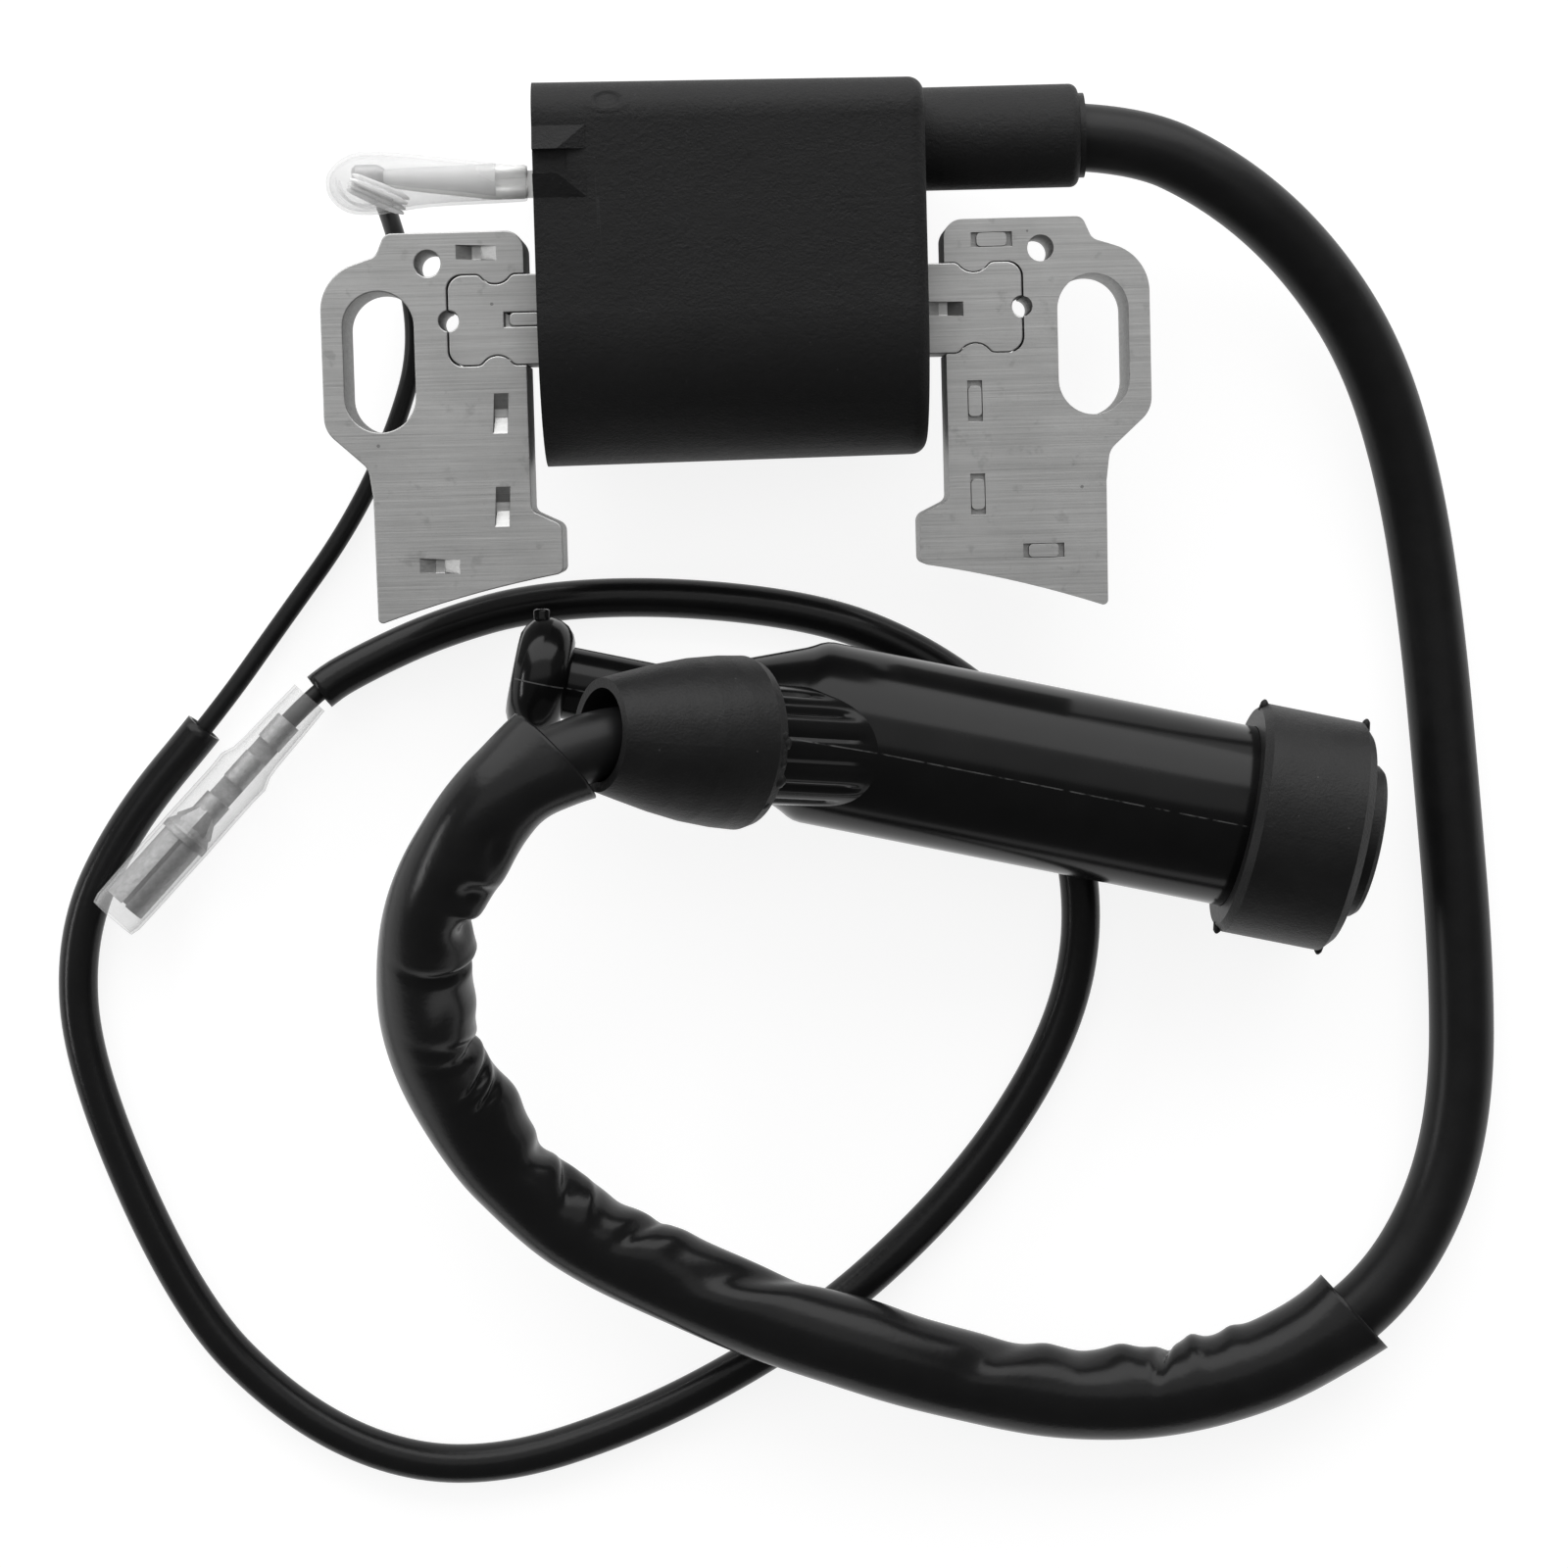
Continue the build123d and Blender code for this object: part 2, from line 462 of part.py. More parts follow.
# ---------------------------------------------------------------- plug cap
barrel = axis_frame(cap_origin, BARREL_HEADING, BARREL_PITCH)
entry = axis_frame(entry_origin, ENTRY_HEADING, ENTRY_PITCH)
CONE_END = 72.0
KNOB = 86.6
BOOT_START, BOOT_LEN = 20.9, 17.1
LEAD_TO_BOOT = 1.25        # the boot is loose on the lead
BOOT_LIP = 1.0
BOOT_MOUTH = LEAD_RADIUS + LEAD_TO_BOOT
ENTRY_LEN = 27.4
cone_points = [(0, 1.0), (BARREL_RADIUS, 1.0), (BARREL_RADIUS, BARREL_LENGTH),
               (BARREL_RADIUS - 0.7, BARREL_LENGTH + 1.0),
               (4.4, CONE_END - 1.6), (3.8, CONE_END), (3.8, KNOB), (0, KNOB)]
cap = barrel * turned(cone_points)
knob = fillet(Cylinder(6.4, 4.8).edges().filter_by(GeomType.CIRCLE), 2.1)
cap += barrel * (Pos(0, 0, KNOB) * knob)
cap += barrel * (Pos(0, 6.6, KNOB) * Rot(90, 0, 0) * Cylinder(0.8, 2.2))
flute = rod(ENTRY_RADIUS, ENTRY_LEN)
for i in range(14):
    groove = Pos(ENTRY_RADIUS + 0.25, 0, ENTRY_LEN / 2) * Cylinder(0.65, ENTRY_LEN + 2)
    flute -= Rot(0, 0, i * 360 / 14) * groove
cap += entry * flute
rear_bore = 46.0
cap -= barrel * rod(PLUG_BORE + 1.7, 31.0, -1.0)
cap -= barrel * rod(3.1, rear_bore - 20, 20.0)
cap -= entry * rod(LEAD_RADIUS + SEAT_GAP, 20, LEAD_END - 0.6)
cap -= entry * rod(1.55, LEAD_END, 0.0)
cap = max(cap.solids(), key=lambda s: s.volume)
write("plug_cap_body", cap)

boot_points = [(BOOT_MOUTH, 0), (BOOT_MOUTH + BOOT_LIP, 0), (6.5, 2.6), (7.5, 6.2), (8.3, 9.8),
               (8.75, 13.2), (8.9, 15.8), (8.5, 16.9), (7.2, BOOT_LEN),
               (ENTRY_RADIUS + 0.05, BOOT_LEN - 0.3), (ENTRY_RADIUS + 0.05, 9.9), (BOOT_MOUTH, 9.9)]
lead_boot = entry * turned([(r, BOOT_START + BOOT_LEN - z) for r, z in boot_points])
lead_boot -= barrel * turned([(r + SEAT_GAP if r else 0, s) for r, s in cone_points])
write("cap_lead_boot", max(lead_boot.solids(), key=lambda s: s.volume))

plug_points = [(PLUG_BORE, 14.0), (PLUG_BORE, -1.4), (PLUG_BORE + 0.7, -2.1), (7.7, -2.1),
               (8.1, -1.6), (8.1, 0.0),
               (11.2, 0.0), (RING_RADIUS, 1.0), (RING_RADIUS, 11.2), (11.6, RING_LENGTH),
               (BARREL_RADIUS + 0.05, RING_LENGTH), (BARREL_RADIUS + 0.05, 0.9), (PLUG_BORE + 1.65, 0.9),
               (PLUG_BORE + 1.65, 14.0)]
write("cap_plug_boot", barrel * turned(plug_points))

contact = rod(PLUG_BORE + 1.2, 8.0, 19.5) - rod(3.3, 6.2, 19.0)
clip_groove = ring(3.9, 3.2, 1.0)
contact -= Pos(0, 0, 21.4) * clip_groove
contact += rod(2.6, 1.6, 27.3)
write("plug_contact", barrel * contact)
clip = Pos(0, 0, 21.9) * Torus(3.35, 0.38)
clip -= Pos(4, 0, 21.9) * Box(4, 2.2, 3)
write("contact_clip", barrel * clip)
spring_start = 28.95
spring_turns, spring_pitch = 4, 1.1
coil = Helix(pitch=spring_pitch, height=spring_turns * spring_pitch, radius=2.3)
spring = sweep(Plane(origin=coil @ 0, z_dir=coil % 0) * Circle(0.3), path=coil)
write("cap_spring", barrel * (Pos(0, 0, spring_start + 0.32) * spring))
resistor_start = spring_start + spring_turns * spring_pitch + 0.64
write("cap_resistor", barrel * rod(2.95, rear_bore - 3.3 - resistor_start, resistor_start))
screw = rod(1.4, LEAD_END - 3.2, 4.6)
screw += turned([(0, LEAD_END + 1.4), (1.4, LEAD_END + 1.4), (0, LEAD_END + 5.0)])
write("cap_lead_screw", entry * screw)

print("pieces", len(written))
for piece_name, volume in written.items():
    print(f"  {piece_name:22s} {volume:9.1f}")
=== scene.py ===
"""Flywheel ignition coil with its HT lead, plug cap and kill wire, lying on a pale surface.

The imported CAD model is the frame.  Sections follow the order in which the coil is put together.
Metres, X along the winding axis towards the HT tower, Y away from the flywheel, Z up.
"""

import math
import random

import bpy
from mathutils import Matrix, Vector, noise


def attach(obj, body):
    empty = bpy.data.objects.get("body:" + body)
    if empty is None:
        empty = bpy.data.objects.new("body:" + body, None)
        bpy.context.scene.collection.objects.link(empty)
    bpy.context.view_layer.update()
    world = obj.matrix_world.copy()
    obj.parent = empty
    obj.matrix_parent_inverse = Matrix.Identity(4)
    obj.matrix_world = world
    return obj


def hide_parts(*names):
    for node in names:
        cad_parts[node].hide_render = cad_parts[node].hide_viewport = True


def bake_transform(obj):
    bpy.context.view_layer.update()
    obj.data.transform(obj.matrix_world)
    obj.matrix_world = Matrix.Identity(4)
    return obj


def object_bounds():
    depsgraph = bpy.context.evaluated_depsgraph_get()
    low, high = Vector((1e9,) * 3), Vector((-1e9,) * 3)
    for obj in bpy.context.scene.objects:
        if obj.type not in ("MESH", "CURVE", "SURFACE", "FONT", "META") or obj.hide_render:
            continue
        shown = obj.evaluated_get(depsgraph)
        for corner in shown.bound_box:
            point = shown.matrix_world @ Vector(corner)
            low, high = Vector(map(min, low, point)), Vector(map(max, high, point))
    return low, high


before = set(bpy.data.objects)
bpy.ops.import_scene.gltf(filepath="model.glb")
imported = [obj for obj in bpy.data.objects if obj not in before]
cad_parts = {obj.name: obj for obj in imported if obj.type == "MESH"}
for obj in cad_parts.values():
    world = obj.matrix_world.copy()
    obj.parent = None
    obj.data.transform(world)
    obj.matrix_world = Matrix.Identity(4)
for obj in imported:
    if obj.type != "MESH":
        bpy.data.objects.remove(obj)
cad_box = [list(corner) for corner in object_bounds()]
MM = 0.001

# ---------------------------------------------------------------- stage
# A plain pale table under broad soft boxes, seen from straight above by a camera with a long lens.
VIEW_HEIGHT = 0.440
LENS = 93.375
CAMERA_TILT = -1.5
camera_data = bpy.data.cameras.new("overhead")
camera_data.sensor_width = 36.0
camera_data.lens = LENS
camera_data.clip_start = 0.05
camera = bpy.data.objects.new("overhead", camera_data)
bpy.context.collection.objects.link(camera)
lean = Matrix.Rotation(math.radians(CAMERA_TILT), 3, "Z")
sight = lean @ Vector((0.010361, -0.072289, -1.0)).normalized()
page_up = lean @ Vector((0.0, 1.0, 0.0))
across = sight.cross(page_up).normalized()
turn = Matrix((across, across.cross(sight), -sight)).transposed().to_4x4()
camera.matrix_world = Matrix.Translation((0.00015, -0.014035, VIEW_HEIGHT)) @ turn
bpy.context.scene.camera = camera

TABLE_SIZE, TABLE_GAP = 6.0, 0.00005
bpy.ops.mesh.primitive_plane_add(size=TABLE_SIZE, location=(0, 0, cad_box[0][2] - TABLE_GAP))
table = bpy.context.object
table.name = "table"
table_paint = bpy.data.materials.new("table_paint")
table_paint.use_nodes = True
paint = table_paint.node_tree.nodes["Principled BSDF"]
paint.inputs["Base Color"].default_value = (0.26, 0.26, 0.26, 1)
paint.inputs["Roughness"].default_value = 0.9
paint.inputs["Specular IOR Level"].default_value = 0.0
paint.inputs["Emission Color"].default_value = (1, 1, 1, 1)
paint.inputs["Emission Strength"].default_value = 0.86
table.data.materials.append(table_paint)

sky = bpy.data.worlds.new("studio")
bpy.context.scene.world = sky
sky.use_nodes = True
sky.node_tree.nodes["Background"].inputs["Color"].default_value = (1, 1, 1, 1)
sky.node_tree.nodes["Background"].inputs["Strength"].default_value = 0.16
bpy.context.scene.view_settings.view_transform = "Standard"


def soft_box(name, place, towards, width, height, glow):
    """A rectangular lamp of an even brightness, facing a point."""
    light = bpy.data.lights.new(name, "AREA")
    light.shape = "RECTANGLE"
    light.size = width
    light.size_y = height
    light.energy = glow * math.pi * width * height
    lamp = bpy.data.objects.new(name, light)
    bpy.context.collection.objects.link(lamp)
    aim = Vector(towards) - Vector(place)
    lamp.matrix_world = Matrix.Translation(place) @ aim.to_track_quat("-Z", "Y").to_matrix().to_4x4()


soft_box("back_wall", (0.0, 0.80, 0.54), (0.0, 0.0, 0.54), 1.8, 1.06, 2.9)
soft_box("ceiling", (0.0, 0.44, 1.10), (0.0, 0.44, 0.0), 1.6, 0.88, 0.75)
soft_box("left_strip", (-0.75, -0.05, 0.27), (0.0, -0.05, 0.0), 0.45, 0.09, 10.0)


# ---------------------------------------------------------------- laminated core
# Thin silicon-steel stampings stacked and held by pressed lances, with the bar snapped into both legs.
# The tops keep the brushed lines of the rolled strip and the edges show each lamination.
class Signal:
    """A shader socket; arithmetic on it adds Math nodes to its own finish."""

    def __init__(self, finish, socket):
        self.finish = finish
        self.socket = socket

    def combined(self, operation, first, second=0.0, third=0.0):
        return self.finish.node("Math", {"operation": operation}, _0=first, _1=second, _2=third)

    def __add__(self, other):
        return self.combined("ADD", self, other)

    def __mul__(self, other):
        return self.combined("MULTIPLY", self, other)

    def __sub__(self, other):
        return self.combined("SUBTRACT", self, other)

    def __rsub__(self, other):
        return self.combined("SUBTRACT", other, self)

    def __truediv__(self, other):
        return self.combined("DIVIDE", self, other)

    def __pow__(self, other):
        return self.combined("POWER", self, other)

    def __gt__(self, other):
        return self.combined("GREATER_THAN", self, other)

    def __lt__(self, other):
        return self.combined("LESS_THAN", self, other)

    def __abs__(self):
        return self.combined("ABSOLUTE", self)

    __radd__ = __add__
    __rmul__ = __mul__

    def wave(self):
        return self.combined("SINE", self)

    def eased(self, low, high):
        """0 below one value, 1 above the other, smooth between them."""
        ramp = {"interpolation_type": "SMOOTHSTEP"}
        return self.finish.node("MapRange", ramp, Value=self, From_Min=low, From_Max=high)


class Finish:
    """A material around one Principled shader, whose constants are set on its own sockets."""

    def __init__(self, name, **constants):
        self.material = bpy.data.materials.new(name)
        self.material.use_nodes = True
        self.tree = self.material.node_tree
        self.shader = self.tree.nodes["Principled BSDF"]
        self.put(self.shader, constants)

    def put(self, node, values):
        for key, value in values.items():
            socket = node.inputs[int(key[1:])] if key[0] == "_" else node.inputs[key.replace("_", " ")]
            if isinstance(value, Signal):
                self.tree.links.new(value.socket, socket)
            elif isinstance(value, tuple) and len(value) == 3 and socket.type == "RGBA":
                socket.default_value = (*value, 1.0)
            else:
                socket.default_value = value

    def node(self, kind, settings=None, out=0, **values):
        made = self.tree.nodes.new("ShaderNode" + kind)
        for key, value in (settings or {}).items():
            setattr(made, key, value)
        self.put(made, values)
        return Signal(self, made.outputs[out])

    def spot(self, scale=(1, 1, 1), rotation=(0, 0, 0)):
        at = self.node("TexCoord", out="Object")
        return self.node("Mapping", Vector=at, Rotation=rotation, Scale=scale)

    def noise(self, scale, detail=2.0, roughness=0.5, at=None):
        at = at or self.spot()
        return self.node("TexNoise", Vector=at, Scale=scale, Detail=detail, Roughness=roughness, Distortion=0.0)

    def specks(self, scale, size):
        """1 in the middle of scattered small dots, 0 elsewhere."""
        near = self.node("TexVoronoi", Vector=self.spot(), Scale=scale, Randomness=1.0)
        return near < size

    def axis(self, name, of="Object"):
        return self.node("SeparateXYZ", out=name, Vector=self.node("TexCoord", out=of))

    def blend(self, amount, low, high):
        """A colour between two others."""
        return self.node("Mix", {"data_type": "RGBA"}, out=2, Factor=amount, _6=low, _7=high)

    def colour(self, value):
        self.put(self.shader, {"Base_Color": value})

    def rough(self, value):
        self.put(self.shader, {"Roughness": value})

    def relief(self, height, depth):
        """Bump of a height signal; depth is in metres."""
        bump = self.node("Bump", Height=height, Distance=depth, Strength=1.0)
        self.put(self.shader, {"Normal": bump})

    def on(self, *names):
        """Give this finish to CAD nodes."""
        for name in names:
            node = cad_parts[name]
            node.data.materials.clear()
            node.data.materials.append(self.material)


def choose(*objects):
    """Select these objects alone, the first one active."""
    bpy.ops.object.select_all(action="DESELECT")
    for item in objects:
        item.select_set(True)
    bpy.context.view_layer.objects.active = objects[0]


def settled(piece, material, body, slot, *nodes):
    """Finish a piece: its material, the body that it rides on, and what it stands for."""
    piece.data.materials.clear()
    piece.data.materials.append(material)
    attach(piece, body)
    if nodes:
        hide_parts(*nodes)


LAYER, EDGE_ROUND = 0.5 * MM, 0.11 * MM


def edges_broken(name, node, width):
    """A copy of a CAD piece whose sharp edges have the small round that tumbling leaves."""
    piece = bpy.data.objects.new(name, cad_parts[node].data.copy())
    bpy.context.collection.objects.link(piece)
    choose(piece)
    bpy.ops.object.mode_set(mode="EDIT")
    bpy.ops.mesh.select_all(action="SELECT")
    bpy.ops.mesh.remove_doubles(threshold=0.002 * MM)
    bpy.ops.mesh.dissolve_limited(angle_limit=math.radians(0.4))
    bpy.ops.object.mode_set(mode="OBJECT")
    edge = piece.modifiers.new("edge", "BEVEL")
    edge.width = width
    edge.segments = 2
    edge.limit_method = "ANGLE"
    edge.angle_limit = math.radians(40)
    bpy.ops.object.modifier_apply(modifier="edge")
    bpy.ops.object.shade_smooth_by_angle(angle=math.radians(4))
    return piece


steel = Finish("laminated_steel", Metallic=1.0, Roughness=0.46)
brushed = steel.noise(1.0, 6.0, 0.7, at=steel.spot(scale=(55, 4600, 4600)))
scratch = steel.noise(1.0, 3.0, 0.5, at=steel.spot(scale=(28, 1500, 1500)))
cloud = steel.noise(150.0, 4.0, 0.6)
stain = steel.noise(420.0, 3.0, 0.6).eased(0.60, 0.72)
pit = steel.specks(230.0, 0.05)
side = 1 - abs(steel.axis("Z", "Normal")).eased(0.35, 0.6)
layers = (steel.axis("Z") * (2 * math.pi / LAYER)).wave() * 0.5 + 0.5
torn = steel.noise(1.0, 4.0, 0.7, at=steel.spot(scale=(2600, 2600, 420)))
tone = 0.20 + brushed * 0.34 + scratch * 0.08 + cloud * 0.16 - stain * 0.08 - pit * 0.20
tone = tone * (1 - side * (0.45 * layers ** 2 + 0.35 * torn))
steel.colour(steel.node("CombineColor", _0=tone, _1=tone, _2=tone * 0.99))
steel.rough(0.40 + brushed * 0.14 + side * 0.10)
steel.relief(brushed * 0.8 * (1 - side) + (layers * 2.0 + torn * 2.5) * side - pit * 1.5, 0.00002)
for stamping in ("core_bar", "left_leg", "right_leg"):
    node = stamping if stamping == "core_bar" else stamping + "_stack"
    lamination = edges_broken(stamping + "_laminations", node, EDGE_ROUND)
    settled(lamination, steel.material, "coil_unit", "laminated_steel", node)

# ---------------------------------------------------------------- windings and their bobbins
# Enamelled copper on moulded bobbins: one coarse primary inside, seven narrow slices of hair-fine
# secondary outside, all about the core bar.
copper = Finish("enamelled_copper", Metallic=1.0, Roughness=0.28, Coat_Weight=0.6)
strand = (copper.axis("X") * (2 * math.pi / (0.22 * MM))).wave() * 0.5 + 0.5
copper.colour(copper.blend(strand, (0.30, 0.09, 0.03), (0.72, 0.30, 0.12)))
copper.relief(strand, 0.00008)
copper.on("primary_winding", "secondary_winding")

nylon = Finish("bobbin_nylon", Roughness=0.45)
nylon.colour(nylon.blend(nylon.noise(900), (0.55, 0.52, 0.44), (0.66, 0.63, 0.55)))
nylon.relief(nylon.noise(2500), 0.00003)
nylon.on("primary_bobbin", "secondary_bobbin")

# ---------------------------------------------------------------- trigger board and potting
# A small board with its power transistor and resistors, sealed in black epoxy with the tab.
board = Finish("circuit_board", Roughness=0.4)
trace = (board.axis("X") * 2400.0).wave() > 0.55
board.colour(board.blend(trace, (0.02, 0.10, 0.04), (0.05, 0.19, 0.08)))
board.relief(trace, 0.00004)
board.on("control_board")

chip = Finish("chip_plastic", Roughness=0.5)
chip.colour(chip.blend(chip.noise(3000), (0.010, 0.010, 0.011), (0.030, 0.030, 0.032)))
chip.relief(chip.noise(5000), 0.00002)
chip.on("power_transistor", "board_resistors")

epoxy = Finish("potting_resin", Roughness=0.35)
epoxy.colour(epoxy.blend(epoxy.noise(200), (0.008, 0.008, 0.009), (0.022, 0.021, 0.020)))
epoxy.relief(epoxy.noise(260), 0.00012)
epoxy.on("potting_resin")

# ---------------------------------------------------------------- coil case
# Glass-filled black nylon, spark-eroded matt outside, with the HT tower and terminal guard moulded on.
matt = Finish("case_plastic", Roughness=0.5, IOR=1.32)
fine = matt.noise(3600.0, 4.0, 0.7)
patch = matt.noise(140.0, 4.0, 0.6)
fleck = matt.specks(520.0, 0.05) * (matt.noise(90.0) > 0.52)
hair = matt.noise(1.0, 2.0, 0.5, at=matt.spot(scale=(1900, 60, 1900), rotation=(0, 0, 0.5))) > 0.735
dimple_x, dimple_y = matt.axis("X") + 12.3 * MM, matt.axis("Y") - 25.3 * MM
dimple = (dimple_x ** 2 * 0.35 + dimple_y ** 2) ** 0.5
hollow = 1 - dimple.eased(0.35 * MM, 1.0 * MM)
rim = (1 - abs(dimple - 1.1 * MM).eased(0.1 * MM, 0.5 * MM)) * 0.6
matt.colour(matt.blend(fleck * 0.55 + patch * 0.15 + hair * 0.25 + fine * 0.14, (0.0055, 0.0055, 0.0057),
                       (0.034, 0.034, 0.035)))
matt.rough(0.42 + patch * 0.10 + fine * 0.14)
grit = matt.noise(1300.0, 3.0, 0.7)
matt.relief(fine * 1.3 + grit * 1.0 + patch * 2.0 + fleck - hollow * 4.0 + rim * 1.0, 0.00008)
matt.on("coil_case")

# ---------------------------------------------------------------- terminal, earth strap and tower pin
# Tinned brass stampings; the kill tab's tip stands out of the resin under its push-on receptacle.
tinned = Finish("tinned_brass", Metallic=0.35, Roughness=0.32)
smear = tinned.noise(1200.0, 4.0, 0.6)
tinned.colour(tinned.blend(smear, (0.80, 0.80, 0.79), (0.97, 0.97, 0.96)))
tinned.rough(0.30 + smear * 0.2)
tinned.relief(smear, 0.00002)
tinned.on("kill_tab", "ground_strap", "ht_tower_pin")

# ---------------------------------------------------------------- kill terminal's receptacle and cover
# A push-on receptacle, its two sides curled over the tab, crimped to the wire inside a soft clear bag
# that is moulded to bend the wire downwards.
def drawn_out(name, stations, sides=24, closed=(True, True)):
    """A round bar drawn along X through stations of (x, y, z, half width, half height), in millimetres."""
    x, y, z, wide, high = stations[0]
    bpy.ops.object.select_all(action="DESELECT")
    bpy.ops.mesh.primitive_circle_add(vertices=sides, radius=1.0, fill_type="NGON", location=(0, 0, 0),
                                      rotation=(0, math.pi / 2, 0))
    bar = bpy.context.object
    bar.name = name
    bpy.ops.object.transform_apply(location=True, rotation=True, scale=True)
    bpy.ops.object.mode_set(mode="EDIT")
    bpy.ops.mesh.select_all(action="SELECT")
    bpy.ops.transform.resize(value=(1, wide * MM, high * MM), center_override=(0, 0, 0))
    bpy.ops.transform.translate(value=(x * MM, y * MM, z * MM))
    for near, far in zip(stations, stations[1:]):
        step = [(b - a) * MM for a, b in zip(near[:3], far[:3])]
        bpy.ops.mesh.extrude_region_move(TRANSFORM_OT_translate={"value": step})
        bpy.ops.transform.resize(value=(1, far[3] / near[3], far[4] / near[4]),
                                 center_override=[c * MM for c in far[:3]])
    if not closed[1]:
        bpy.ops.mesh.delete(type="ONLY_FACE")
    bpy.ops.mesh.select_all(action="SELECT")
    bpy.ops.mesh.normals_make_consistent(inside=False)
    bpy.ops.object.mode_set(mode="OBJECT")
    return bar


def rounded_off(piece, levels):
    """Subdivide a piece smooth and keep the result."""
    choose(piece)
    smooth = piece.modifiers.new("smooth", "SUBSURF")
    smooth.levels = smooth.render_levels = levels
    bpy.ops.object.modifier_apply(modifier="smooth")
    bpy.ops.object.shade_smooth()


def walled(piece, thickness):
    """Give an open skin its wall, inwards."""
    choose(piece)
    wall = piece.modifiers.new("wall", "SOLIDIFY")
    wall.thickness = thickness
    wall.offset = -1.0
    bpy.ops.object.modifier_apply(modifier="wall")


CURL_MIDDLE, CURL_LEVEL = 18.37, 15.25
for label, side_way in (("upper", 1), ("lower", -1)):
    curl = drawn_out("receptacle_curl_" + label, [
        (-35.6, CURL_MIDDLE + side_way * 0.45 + 0.5, CURL_LEVEL, 0.30, 0.40),
        (-32.0, CURL_MIDDLE + side_way * 0.62 + 0.3, CURL_LEVEL, 0.52, 0.62),
        (-25.0, CURL_MIDDLE + side_way * 1.00, CURL_LEVEL, 0.74, 0.78),
        (-24.4, CURL_MIDDLE + side_way * 1.04, CURL_LEVEL, 0.74, 0.80),
        (-21.5, CURL_MIDDLE + side_way * 1.04, CURL_LEVEL, 0.72, 0.80),
        (-21.2, CURL_MIDDLE + side_way * 1.04, CURL_LEVEL, 0.58, 0.66)], 20)
    bpy.ops.object.shade_smooth_by_angle(angle=math.radians(40))
    settled(curl, tinned.material, "kill_connector", "tinned_brass", "kill_receptacle")
crimp = drawn_out("receptacle_crimp", [
    (-39.3, 19.6, 15.3, 0.60, 0.55), (-38.9, 19.6, 15.4, 0.92, 0.85), (-37.9, 19.55, 15.4, 1.0, 0.9),
    (-36.9, 19.5, 15.4, 1.02, 0.9), (-36.5, 19.5, 15.35, 0.95, 0.8), (-35.4, 19.3, 15.2, 0.45, 0.35)], 16)
bpy.ops.object.shade_smooth_by_angle(angle=math.radians(30))
dull = Finish("crimped_barrel", Metallic=1.0, Roughness=0.5)
dull.colour(dull.blend(dull.noise(1600.0, 3.0), (0.22, 0.22, 0.22), (0.46, 0.46, 0.46)))
dull.relief(dull.noise(2400.0, 3.0), 0.00005)
settled(crimp, dull.material, "kill_connector", "tinned_brass", "kill_receptacle")

milky = Finish("milky_vinyl", Roughness=0.22, IOR=1.4)
# Layer weight facing: used for the painted shade of the edges and for more opacity seen edge-on.
facing = milky.node("LayerWeight", out=1, Blend=0.30)
x_at, y_at = milky.axis("X"), milky.axis("Y")
ring_at = ((x_at + 37.9 * MM) ** 2 + (y_at - 19.3 * MM) ** 2) ** 0.5
arc = (1 - abs(ring_at - 3.0 * MM).eased(0.05 * MM, 0.22 * MM)) * (y_at < 19.2 * MM) * (x_at < -36.4 * MM)
fold_run = (x_at + 36.7 * MM) * 0.91 - (y_at - 17.4 * MM) * 0.415
fold_off = (x_at + 36.7 * MM) * 0.415 + (y_at - 17.4 * MM) * 0.91
fold = (1 - abs(fold_off).eased(0.5 * MM, 0.9 * MM)) * (1 - abs(fold_run).eased(2.4 * MM, 3.2 * MM))
pleat = (fold_off * (2 * math.pi / (0.55 * MM))).wave() * 0.5 + 0.5
shade = arc * 0.5 + fold * pleat * 0.55
# The colour darkens towards grazing view, a painted shade for the dark outline that refraction gives at the
# vinyl's edges, and along the shade mask of the arc and the pleated fold.
milky.colour(milky.blend(facing * 0.8 + shade * 0.5, (0.90, 0.90, 0.90), (0.40, 0.40, 0.40)))
milky.put(milky.shader, {"Alpha": 0.14 + milky.noise(240.0, 3.0) * 0.10 + (facing ** 2) * 0.3 + shade * 0.3})
milky.relief(milky.noise(380.0, 2.0) + fold * pleat * 0.6, 0.00014)
barrel_skin = drawn_out("receptacle_inner_sleeve", [
    (-36.0, 19.2, 15.25, 0.72, 0.80), (-35.6, 19.2, 15.25, 0.86, 0.95), (-32.0, 18.95, 15.25, 1.22, 1.15),
    (-28.0, 18.70, 15.25, 1.52, 1.20), (-24.9, 18.50, 15.25, 1.82, 1.22), (-24.45, 18.48, 15.25, 1.85, 1.22)],
    28, (True, False))
walled(barrel_skin, 0.22 * MM)
bpy.ops.object.shade_smooth_by_angle(angle=math.radians(40))
frosted = Finish("frosted_vinyl", Roughness=0.4, IOR=1.4)
shaded = frosted.node("LayerWeight", out=1, Blend=0.5)
frosted.colour(frosted.blend(shaded + frosted.specks(900.0, 0.04) * 0.5, (0.90, 0.90, 0.90),
                             (0.45, 0.45, 0.45)))
frosted.put(frosted.shader, {"Alpha": 0.55 + (shaded ** 2) * 0.35})
settled(barrel_skin, frosted.material, "kill_connector", "clear_vinyl", "receptacle_cover")
pleats = []
PLEATS = ((16.4, 0.0), (16.9, 0.55), (16.5, 1.1), (16.1, -0.5))  # level and place across the fold
